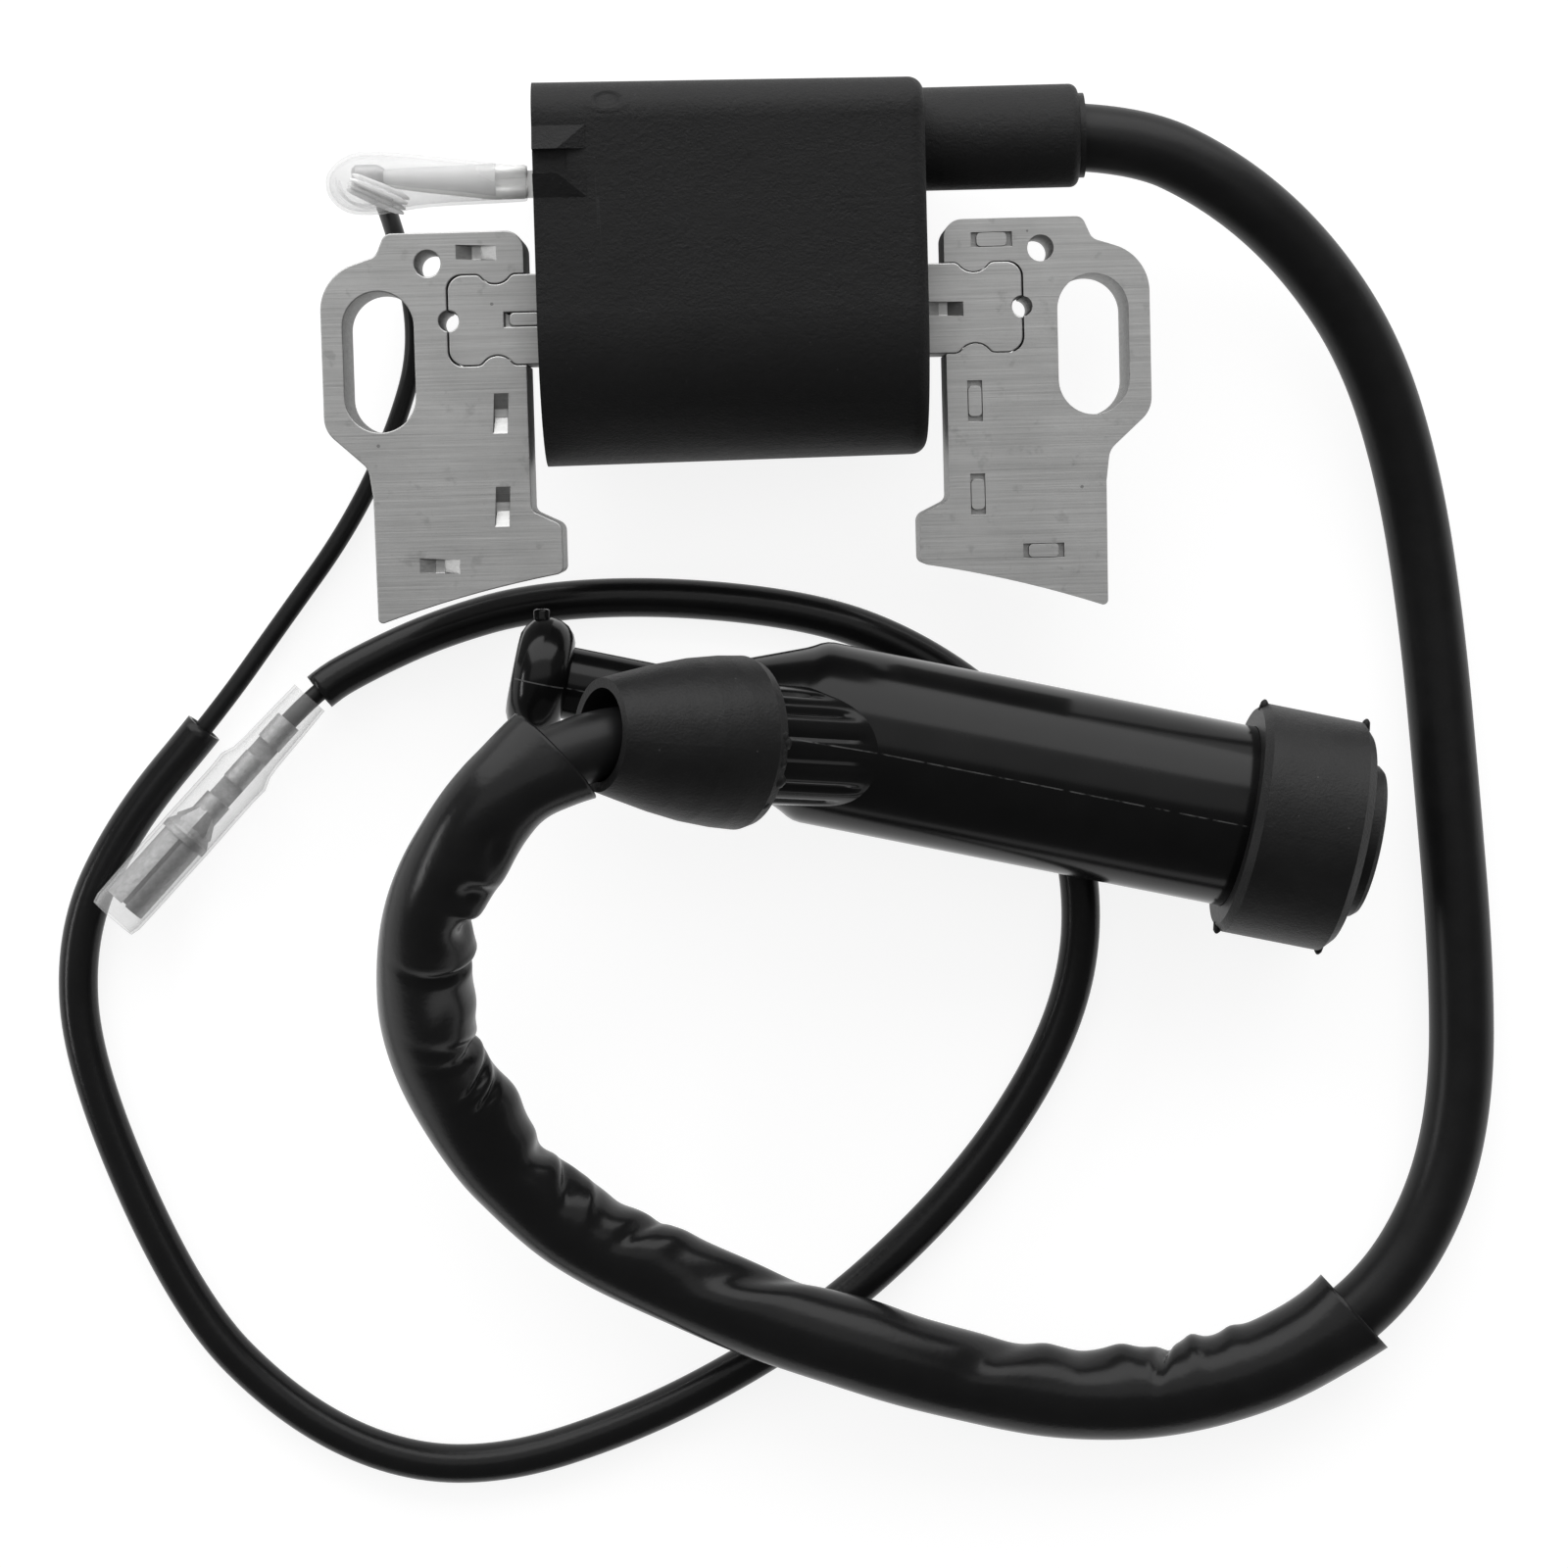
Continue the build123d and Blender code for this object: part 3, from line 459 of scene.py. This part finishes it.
for level, sideways in PLEATS:
    pleat_bar = drawn_out("cover_pleat", [
        (-3.2, 0, 0, 0.10, 0.10), (-2.6, 0, 0, 0.30, 0.26), (0.2, 0, 0, 0.42, 0.36), (2.4, 0, 0, 0.34, 0.24),
        (3.2, 0, 0, 0.10, 0.10)], 12)
    run = Vector((0.91, -0.415, -0.16)).normalized()
    across_run = Vector((0.415, 0.91, 0.0))
    place = Vector((-36.7, 17.15, level)) * MM + across_run * (sideways * MM)
    pleat_bar.matrix_world = Matrix.Translation(place) @ run.to_track_quat("X", "Z").to_matrix().to_4x4()
    choose(pleat_bar)
    bpy.ops.object.transform_apply(location=True, rotation=True, scale=True)
    pleats.append(pleat_bar)
choose(*pleats)
bpy.ops.object.join()
bpy.ops.object.shade_smooth()
tuck = bpy.context.object
tuck.name = "cover_tuck"
tucked = Finish("tucked_vinyl", Roughness=0.3, IOR=1.4)
tucked.colour(tucked.blend(tucked.noise(900.0, 3.0), (0.80, 0.80, 0.80), (0.98, 0.98, 0.98)))
tucked.put(tucked.shader, {"Alpha": 0.80 + tucked.noise(500.0) * 0.2})
settled(tuck, tucked.material, "kill_connector", "clear_vinyl", "receptacle_cover")
bag = drawn_out("receptacle_bag", [
    (-42.1, 18.7, 14.4, 0.5, 0.5), (-41.9, 18.65, 14.4, 1.2, 1.2), (-41.2, 18.6, 14.4, 2.2, 2.1),
    (-40.0, 18.6, 14.4, 3.0, 2.9), (-38.6, 18.7, 14.5, 3.35, 3.1), (-36.4, 18.65, 14.6, 3.3, 3.0),
    (-34.0, 18.70, 14.9, 3.0, 2.5), (-31.6, 18.7, 15.1, 2.68, 1.95), (-28.0, 18.5, 15.2, 2.38, 1.7),
    (-24.5, 18.3, 15.25, 2.10, 1.6), (-21.6, 18.15, 15.25, 1.84, 1.45), (-21.2, 18.12, 15.25, 1.80, 1.42)],
    24, (True, False))
walled(bag, 0.35 * MM)
rounded_off(bag, 1)
settled(bag, milky.material, "kill_connector", "clear_vinyl", "receptacle_cover")
tinned.on("kill_receptacle")

# ---------------------------------------------------------------- HT lead
# A 7 mm lead: stranded core under thick glossy black insulation, potted in the tower and screwed
# into the plug cap, swinging round in one wide loop.
LEAD_RADIUS = 3.5 * MM
barrel_way = Vector((-0.974167, 0.223114, 0.034899))
entry_way = Vector((-0.861661, 0.102747, 0.496974))
cap_mouth = Vector((63.05, -52.3, 13.2)) * MM
entry_root = cap_mouth + barrel_way * (46.2 * MM)
lead_points = [Vector(p) * MM for p in [
    (30.5, 21.7, 15.1), (41.0, 21.7, 15.1), (51.2, 16.8, 13.6), (60.0, 9.3, 10.6), (67.2, -1.0, 7.2),
    (71.5, -14.3, 4.6), (73.9, -30.4, 3.6), (75.3, -48.5, 3.55), (76.5, -66.5, 3.6), (76.4, -81.5, 3.6),
    (73.4, -93.4, 3.9), (66.8, -103.2, 4.9), (56.8, -109.6, 5.1), (45.8, -112.9, 5.1), (34.0, -113.2, 5.4),
    (22.6, -110.5, 7.4), (10.8, -106.4, 9.9), (-1.4, -101.6, 10.0), (-13.4, -95.6, 10.4),
    (-24.9, -87.4, 12.0), (-31.6, -77.9, 16.0), (-34.4, -69.2, 22.0), (-34.2, -61.4, 28.0),
    (-32.4, -54.2, 33.0), (-28.2, -47.3, 35.9), (-21.5, -41.4, 35.9), (-14.6, -38.7, 33.4)]]
lead_points += [entry_root + entry_way * (29.5 * MM), entry_root + entry_way * (21.5 * MM)]


def route(name, points, radius=0.0, smooth=16):
    """A smooth cord line through its control points, thick if it has a radius."""
    line = bpy.data.curves.new(name, "CURVE")
    line.dimensions = "3D"
    line.resolution_u = smooth
    line.bevel_depth = radius
    line.bevel_resolution = 10
    line.use_fill_caps = radius > 0
    spline = line.splines.new("NURBS")
    spline.points.add(len(points) - 1)
    for knot, place in zip(spline.points, points):
        knot.co = (*place, 1.0)
    spline.order_u = 3
    spline.use_endpoint_u = True
    cord = bpy.data.objects.new(name, line)
    bpy.context.collection.objects.link(cord)
    return cord


def samples(points, smooth=24):
    """Points read from a cord's own smooth line."""
    bare = route("line_only", points, 0.0, smooth)
    mesh = bpy.data.meshes.new_from_object(bare)
    found = [v.co.copy() for v in mesh.vertices]
    bpy.data.objects.remove(bare)
    bpy.data.meshes.remove(mesh)
    return found


lead_line = samples(lead_points)
ht_lead = route("ht_lead_cord", lead_points, LEAD_RADIUS)
gloss = Finish("lead_insulation", Roughness=0.34, IOR=1.29)
film = gloss.noise(300.0, 4.0, 0.6)
gloss.colour(gloss.blend(film, (0.006, 0.006, 0.0062), (0.012, 0.012, 0.0123)))
gloss.rough(0.30 + film * 0.12)
gloss.relief(gloss.noise(2500.0, 2.0, 0.5), 0.00001)
ht_lead.data.materials.append(gloss.material)
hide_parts("ht_lead")
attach(ht_lead, "coil_unit")


def stretch_between(line, start, end):
    """The part of a sampled line from the point nearest one place to the point nearest another."""
    first = min(range(len(line)), key=lambda i: (line[i] - Vector(start)).length)
    last = min(range(len(line)), key=lambda i: (line[i] - Vector(end)).length)
    return line[first:last + 1]


def evened(line, step):
    """Points at even spacing along a sampled line."""
    out = [line[0].copy()]
    left = step
    for a, b in zip(line, line[1:]):
        span = (b - a).length
        while span and left <= span:
            out.append(a.lerp(b, left / span))
            left += step
        left -= span
    out.append(line[-1].copy())
    return out


CUT_REACH = 8 * MM


def hose(name, line, outer, inner, sides=64, shape=None, shift=None, slant=(0.0, 0.0)):
    """A tube wall along a line; shape changes the outer radius by place along and angle round it,
    with angle 0 towards the right of travel and a quarter turn at the top.  slant cuts an end askew."""
    mesh = bpy.data.meshes.new(name)
    count = len(line)
    verts, rings = [], []
    travelled = 0.0
    for i, at in enumerate(line):
        ahead = (line[min(i + 1, count - 1)] - line[max(i - 1, 0)]).normalized()
        right = ahead.cross(Vector((0, 0, 1))).normalized()
        top = right.cross(ahead).normalized()
        if i:
            travelled += (at - line[i - 1]).length
        rings.append((at, right, top, travelled, ahead))
    for wall in (outer, inner):
        for at, right, top, s, ahead in rings:
            moved = shift(s, travelled) if shift else (0.0, 0.0)
            middle = at + right * moved[0] + top * moved[1]
            for j in range(sides):
                a = 2 * math.pi * j / sides
                r = wall + (shape(s, a, travelled) if shape else 0.0)
                near_end = max(0.0, 1 - (travelled - s) / CUT_REACH) * slant[1]
                near_end += max(0.0, 1 - s / CUT_REACH) * slant[0]
                edge = middle + (right * math.cos(a) + top * math.sin(a)) * r
                verts.append(edge + ahead * (near_end * r * math.cos(a)))
    faces = []
    for base, flip in ((0, False), (count * sides, True)):
        for i in range(count - 1):
            for j in range(sides):
                k = (j + 1) % sides
                quad = [base + i * sides + j, base + (i + 1) * sides + j,
                        base + (i + 1) * sides + k, base + i * sides + k]
                faces.append(quad if not flip else quad[::-1])
    for i, flip in ((0, False), (count - 1, True)):
        for j in range(sides):
            k = (j + 1) % sides
            quad = [i * sides + j, i * sides + k, (count + i) * sides + k, (count + i) * sides + j]
            faces.append(quad if not flip else quad[::-1])
    mesh.from_pydata(verts, [], faces)
    mesh.polygons.foreach_set("use_smooth", [True] * len(mesh.polygons))
    mesh.update()
    made = bpy.data.objects.new(name, mesh)
    bpy.context.collection.objects.link(made)
    return made


# ---------------------------------------------------------------- sleeving on the HT lead
# A loose vinyl sleeve pushed over the lead; it has creased wherever the bend has shortened its inside.
vinyl = Finish("sleeve_vinyl", Roughness=0.36, IOR=1.30)
mottle = vinyl.noise(240.0, 4.0, 0.6)
vinyl.colour(vinyl.blend(mottle, (0.0065, 0.0065, 0.0067), (0.011, 0.011, 0.0113)))
vinyl.rough(0.20 + mottle * 0.10)
vinyl.relief(vinyl.noise(1500.0, 3.0, 0.6), 0.00002)
sleeve_line = evened(stretch_between(lead_line, Vector((64.3, -104.6, 5.0)) * MM,
                                     Vector((-18.9, -40.0, 35.6)) * MM), 0.5 * MM)
# Each crease: place along the sleeve, its lean along per radian round, half width, the degrees round from
# the inside of the bend where it is deepest and how far it reaches, and how far it stands out or in.
CREASES = [
    (13.6, 0.5, 1.3, 0, 35, 0.45), (18.6, 0.6, 1.2, 5, 45, 0.75), (22.3, 1.6, 0.8, 10, 42, -1.15),
    (27.2, -0.6, 1.9, 5, 42, 0.65), (32.4, 0.8, 1.5, 12, 34, -0.35), (36.6, 0.4, 1.9, 0, 40, 0.3),
    (42.6, 3.4, 2.6, 25, 44, -0.75), (57.0, 0.5, 4.0, 0, 40, 0.3), (70.5, 6.0, 3.4, 25, 50, -0.9),
    (81.0, 2.2, 1.6, 30, 36, 0.45), (84.4, 2.4, 0.9, 28, 40, -0.75), (88.2, 1.2, 1.6, 12, 40, -0.5),
    (91.6, -1.4, 0.9, 40, 34, 0.5), (95.2, -1.4, 1.1, 26, 40, -0.95), (99.4, 1.0, 1.6, 10, 48, -1.25),
    (107.6, 0.6, 3.2, 0, 52, 0.85), (111.2, -1.2, 0.55, 42, 26, -0.6), (112.9, -1.2, 0.5, 40, 26, 0.35),
    (114.3, -1.2, 0.55, 36, 30, -0.75), (117.6, 1.0, 0.7, 4, 50, -1.45), (119.9, 2.4, 1.0, 40, 40, -0.55),
    (124.6, 0.3, 2.8, 0, 30, 0.4), (127.0, 0.0, 3.4, 62, 22, -0.5), (131.9, 0.5, 0.6, 38, 50, -0.9),
    (133.4, 0.0, 0.7, 0, 34, 0.3), (137.6, 0.4, 1.9, 8, 40, -1.65), (140.9, 0.6, 0.7, 42, 26, 0.55),
    (143.2, -0.4, 1.1, 46, 24, -0.8), (145.3, 0.4, 0.7, 44, 24, 0.4), (148.6, 1.6, 1.8, 52, 20, -0.5),
    (146.0, 0.0, 3.0, 0, 26, 0.25), (153.8, 0.0, 2.2, 0, 40, -0.4)]
# The sleeve lies off the lead's centre line, to the inside of the bend first and outside at its end.
OFFSETS = [(0, 0.15), (30, 0.2), (56, 0.25), (76, 0.0), (90, -0.4), (100, 0.1), (112, 0.4), (128, 0.55),
           (144, 0.45), (153, -0.2), (159.1, -0.45)]


def creased(s, a, total):
    """How far the wall stands out of round at a place along and an angle round the sleeve."""
    at = s / MM
    turn = (a + math.pi) % (2 * math.pi) - math.pi
    out = 0.10 * noise.noise(Vector((at * 0.10, math.cos(a) * 0.8, math.sin(a) * 0.8)))
    for place, lean, half, middle, reach, rise in CREASES:
        off = turn - math.radians(middle)
        along = (at - place - lean * off) / half
        if abs(along) < 3.2:
            out += rise * math.exp(-along ** 2 - (off / math.radians(reach)) ** 2)
    flared = max(0.0, 1 - (total / MM - at) / 9) ** 2 * 0.75 + max(0.0, 1 - at / 7) ** 2 * 0.5
    return (max(out, -1.7) + flared * math.cos(2 * a)) * MM


def offset(s, total):
    """How far the sleeve's middle lies towards the inside of the bend, eased between the places."""
    at = s / MM
    for (low, a), (high, b) in zip(OFFSETS, OFFSETS[1:]):
        if at <= high:
            t = (at - low) / (high - low)
            return ((a + (b - a) * t * t * (3 - 2 * t)) * MM, 0.0)
    return (OFFSETS[-1][1] * MM, 0.0)


SLEEVE_OUTER, SLEEVE_INNER = 4.85 * MM, 4.35 * MM
lead_sleeve = hose("ht_lead_sleeve", sleeve_line, SLEEVE_OUTER, SLEEVE_INNER, 96, creased, offset, (0.05, 0.30))
lead_sleeve.data.materials.append(vinyl.material)
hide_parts("ht_lead_sleeving")
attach(lead_sleeve, "coil_unit")

# ---------------------------------------------------------------- kill wire
# Thin stranded wire in soft black insulation from the terminal receptacle to the bullet connector,
# with a loose black tube over its longer run.
WIRE_RADIUS = 1.0 * MM
TUBE_OUTER, TUBE_INNER = 2.1 * MM, 1.65 * MM
wire_exit = Vector((-36.3, 16.6, 10.8)) * MM
wire_drop = Vector((0, -0.5, -0.866)).normalized()
conn_root = Vector((-46.83, -35.06, 3.25)) * MM
conn_way = Vector((-0.679298, -0.723379, 0.123601))
wire_points = [wire_exit, wire_exit + wire_drop * (8.2 * MM) + Vector((0.9, 0.0, 0.0)) * MM]
wire_points += [Vector(p) * MM for p in [
    (-34.0, 2.5, 1.2), (-36.8, -6.6, 1.1), (-42.2, -17.0, 1.1), (-49.7, -26.8, 1.1), (-56.7, -36.2, 2.1),
    (-67.1, -47.9, 2.15), (-73.2, -59.8, 2.15), (-72.8, -75.0, 2.15), (-62.5, -101.0, 2.15),
    (-51.8, -112.6, 2.15), (-40.2, -118.8, 2.15), (-28.4, -119.5, 2.15), (-14.7, -115.4, 2.15),
    (-2.1, -109.4, 2.15), (10.1, -101.6, 2.15), (23.0, -89.3, 2.15), (31.5, -77.0, 2.15),
    (35.5, -66.3, 2.15), (35.7, -55.4, 2.15), (32.8, -46.2, 2.15), (26.8, -37.8, 2.15),
    (17.4, -31.1, 2.15), (7.3, -27.2, 2.15), (-8.5, -25.1, 2.15), (-22.7, -25.4, 2.15),
    (-32.7, -28.0, 2.15), (-40.5, -31.3, 2.2)]]
wire_points += [conn_root - conn_way * MM, conn_root + conn_way * (5.2 * MM)]
wire_line = samples(wire_points)
thick = route("kill_wire_curve", wire_points, WIRE_RADIUS)
wire_mesh = bpy.data.meshes.new_from_object(thick)
bpy.data.objects.remove(thick)
kill_wire = bpy.data.objects.new("kill_wire_cord", wire_mesh)
bpy.context.collection.objects.link(kill_wire)
wire_mesh.materials.clear()
wire_mesh.materials.append(gloss.material)
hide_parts("kill_wire")
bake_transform(kill_wire)

tube_line = evened(stretch_between(wire_line, Vector((-58.1, -38.3, 2.1)) * MM,
                                   conn_root - conn_way * (1.3 * MM)), 1.0 * MM)
kill_sleeve = hose("kill_wire_sleeve", tube_line, TUBE_OUTER, TUBE_INNER, 40)
kill_sleeve.data.materials.append(vinyl.material)
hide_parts("kill_wire_sleeving")
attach(kill_sleeve, "coil_unit")

# ---------------------------------------------------------------- bullet connector
# A tinned brass bullet receptacle crimped to the wire, under a loose clear vinyl sleeve that is
# narrower over the crimps and wider over the socket.
def laid_along(piece, origin, way):
    """Turn a piece drawn along X to lie along a direction from a point, its Z kept as near up as can be."""
    way = way.normalized()
    left = Vector((0, 0, 1)).cross(way).normalized()
    frame_turn = Matrix((way, left, way.cross(left))).transposed().to_4x4()
    piece.matrix_world = Matrix.Translation(origin) @ frame_turn
    choose(piece)
    bpy.ops.object.transform_apply(location=True, rotation=True, scale=True)


brass = Finish("bullet_brass", Metallic=1.0, Roughness=0.3)
brass.colour(brass.blend(brass.noise(1500), (0.55, 0.55, 0.53), (0.80, 0.80, 0.78)))
brass.on("plug_contact", "cap_lead_screw")
dull.on("bullet_receptacle")
clear = Finish("clear_vinyl", Roughness=0.16, IOR=1.4)
# Layer weight facing: used for the painted shade of the edges and for more opacity seen edge-on.
edge_on = clear.node("LayerWeight", out=1, Blend=0.35)
haze = clear.noise(260.0, 3.0, 0.5)
# The colour darkens towards grazing view: painted shade for the dark outline that refraction gives at the
# edges.
clear.colour(clear.blend(edge_on, (0.86, 0.86, 0.86), (0.42, 0.42, 0.42)))
clear.put(clear.shader, {"Alpha": 0.06 + haze * 0.08 + (edge_on ** 2) * 0.55})
clear.relief(clear.noise(420.0, 2.0, 0.5), 0.00012)
bullet_skin = drawn_out("bullet_clear_sleeve", [
    (0.0, 0, 0, 2.15, 2.15), (3.5, 0, 0, 2.3, 2.3), (8.0, 0, 0, 2.45, 2.4), (9.3, 0, 0, 2.6, 2.5),
    (10.6, 0, 0, 3.1, 2.75), (12.5, 0, 0, 3.0, 2.8), (20.0, 0, 0, 3.05, 2.85), (28.0, 0, 0, 3.0, 2.85),
    (30.6, 0, 0, 2.95, 2.8), (31.5, 0, 0, 2.7, 2.6)], 32, (True, False))
choose(bullet_skin)
bpy.ops.object.mode_set(mode="EDIT")
bpy.ops.mesh.select_all(action="DESELECT")
bpy.ops.object.mode_set(mode="OBJECT")
for face in bullet_skin.data.polygons:
    face.select = len(face.vertices) > 4
bpy.ops.object.mode_set(mode="EDIT")
bpy.ops.mesh.delete(type="ONLY_FACE")
bpy.ops.object.mode_set(mode="OBJECT")
SKIN_WALL = 0.28 * MM
walled(bullet_skin, SKIN_WALL)
laid_along(bullet_skin, conn_root, conn_way)
bpy.ops.object.shade_smooth_by_angle(angle=math.radians(45))
settled(bullet_skin, clear.material, "coil_unit", "clear_vinyl", "bullet_sleeve")
collar = drawn_out("bullet_collar", [
    (15.6, 0, 0.5, 0.9, 0.9), (16.4, 0, 0.5, 1.2, 1.1), (18.5, 0, 0.5, 2.35, 1.75), (20.0, 0, 0.5, 1.7, 1.6),
    (20.8, 0, 0.5, 0.9, 1.3)], 8)
laid_along(collar, conn_root, conn_way)
bpy.ops.object.shade_smooth_by_angle(angle=math.radians(25))
settled(collar, dull.material, "coil_unit", "brass")

# ---------------------------------------------------------------- plug cap
# A polished black phenolic moulding: the barrel over the plug, the fluted entry of the lead, and the
# knob behind.  Rubber boots close both ends; the contact, spring, resistor and screw are inside.
bakelite = Finish("bakelite", Roughness=0.05, IOR=1.29)
swirl = bakelite.noise(220.0, 3.0, 0.5)
line_across = barrel_way.cross(Vector((0, 0, 1))).normalized()
off_line = bakelite.axis("X") * line_across.x + bakelite.axis("Y") * line_across.y
off_line = off_line - (cap_mouth.dot(line_across) - 0.35 * MM)
parting = (abs(off_line) < 0.07 * MM) * (bakelite.axis("Z", "Normal") > 0.5)
parting = parting * bakelite.noise(700.0, 2.0).eased(0.35, 0.55)
bakelite.colour(bakelite.blend(parting * 0.9 + swirl * 0.06, (0.0028, 0.0028, 0.0029), (0.075, 0.075, 0.075)))
bakelite.rough(0.15 + swirl * 0.05 + parting * 0.3)
bakelite.relief(parting, 0.00003)


def turned(name, profile, sides):
    """A piece turned about X from (place, radius) pairs, in millimetres."""
    return drawn_out(name, [(x, 0, 0, r, r) for x, r in profile], sides)


cap_shell = turned("cap_barrel", [
    (30.0, 7.1), (1.2, 7.1), (1.0, 7.3), (1.0, 8.9), (1.2, 9.3), (1.7, 9.6), (20.0, 9.6), (40.0, 9.6),
    (57.2, 9.6), (57.9, 9.5), (58.6, 9.24), (59.3, 8.84), (60.0, 8.5), (65.0, 6.55), (69.6, 4.75), (70.4, 4.42),
    (71.2, 4.1), (72.2, 3.84), (73.0, 3.8), (84.6, 3.8)], 128)
laid_along(cap_shell, cap_mouth, barrel_way)
knob = turned("cap_knob", [
    (83.7, 3.6), (83.75, 4.3), (84.1, 5.1), (84.8, 5.85), (85.6, 6.25), (86.6, 6.4), (87.6, 6.25),
    (88.4, 5.85), (89.1, 5.1), (89.5, 4.2), (89.6, 3.2), (89.45, 2.4)], 96)
laid_along(knob, cap_mouth, barrel_way)
stub = turned("cap_knob_stub", [(5.4, 0.9), (6.9, 0.9), (7.1, 0.8), (7.2, 0.55)], 24)
laid_along(stub, cap_mouth + barrel_way * (86.4 * MM), Vector((0.02, 1.0, 0.0)))
FLUTES, FLUTE_DEEP, ENTRY_RADIUS = 14, 0.34, 6.15
entry_profile = [(1.5 + 0.4 * i, ENTRY_RADIUS) for i in range(64)] + [(27.2, 6.05), (27.4, 5.9)]
entry_part = turned("cap_entry", entry_profile, FLUTES * 8)
laid_along(entry_part, entry_root, entry_way)
for point in entry_part.data.vertices:
    from_root = point.co - entry_root
    out = from_root - entry_way * from_root.dot(entry_way)
    up = (Vector((0, 0, 1)) - entry_way * entry_way.z).normalized()
    round_by = math.atan2(out.dot(entry_way.cross(up)), out.dot(up))
    phase = (round_by * FLUTES / (2 * math.pi)) % 1.0
    groove = max(0.0, 1.0 - abs(phase - 0.5) / 0.17)
    clear_of_barrel = ((point.co - cap_mouth).cross(barrel_way).length - 9.9 * MM) / (1.1 * MM)
    groove *= min(max(clear_of_barrel, 0.0), 1.0)
    point.co -= out.normalized() * (FLUTE_DEEP * MM * groove ** 0.5)
choose(cap_shell, knob, stub, entry_part)
bpy.ops.object.join()
bpy.ops.object.shade_smooth_by_angle(angle=math.radians(33))
cap_shell.name = "cap_moulding"
settled(cap_shell, bakelite.material, "coil_unit", "bakelite", "plug_cap_body")
rubber = Finish("black_rubber", Roughness=0.5, IOR=1.30)
grain = rubber.noise(3600.0, 4.0, 0.65)
dust = rubber.specks(330.0, 0.035)
rubber.colour(rubber.blend(rubber.noise(260.0, 3.0) * 0.25 + dust * 0.9, (0.0060, 0.0060, 0.0062),
                           (0.045, 0.045, 0.045)))
rubber.rough(0.36 + grain * 0.14)
rubber.relief(grain + rubber.noise(900.0, 2.0) * 0.8 + dust * 0.6, 0.00005)
rubber.on("cap_lead_boot", "cap_plug_boot", "tower_seal")
spring = Finish("spring_steel", Metallic=1.0, Roughness=0.3)
spring.colour(spring.blend(spring.noise(2000), (0.35, 0.35, 0.36), (0.6, 0.6, 0.6)))
spring.on("cap_spring", "contact_clip")
ceramic = Finish("ceramic", Roughness=0.6)
ceramic.colour(ceramic.blend(ceramic.noise(1500), (0.72, 0.68, 0.60), (0.82, 0.79, 0.72)))
ceramic.on("cap_resistor")
gloss.on("kill_wire_tail")
flash_nubs = []
for place, reach in ((0.6, 12.3), (0.6, -12.3), (11.6, 12.2), (11.6, -12.2)):
    nub = turned("flash_nub", [(-0.8, 0.55), (0.1, 0.40), (0.3, 0.24), (0.42, 0.10)], 8)
    sideways = Vector((0, 0, 1)).cross(barrel_way).normalized() * math.copysign(1.0, reach)
    laid_along(nub, cap_mouth + barrel_way * (place * MM) + sideways * (abs(reach) * MM), sideways)
    flash_nubs.append(nub)
up_from_entry = (Vector((0, 0, 1)) - entry_way * entry_way.z).normalized()
right_of_entry = entry_way.cross(up_from_entry)
lumps = random.Random(12)
for turn_by in range(-10, 62, 6):
    angle = math.radians(turn_by) + lumps.uniform(-0.04, 0.04)
    outward = up_from_entry * math.cos(angle) - right_of_entry * math.sin(angle)
    nub = turned("flash_nub", [(-0.9, 0.95), (0.0, 0.8), (0.28, 0.55), (0.42, 0.2)], 10)
    laid_along(nub, entry_root + entry_way * (lumps.uniform(21.3, 22.0) * MM)
               + outward * (lumps.uniform(8.1, 8.5) * MM), outward)
    flash_nubs.append(nub)
choose(*flash_nubs)
bpy.ops.object.join()
bpy.ops.object.shade_smooth()
flash = bpy.context.object
flash.name = "rubber_flash"
settled(flash, rubber.material, "coil_unit", "black_rubber")
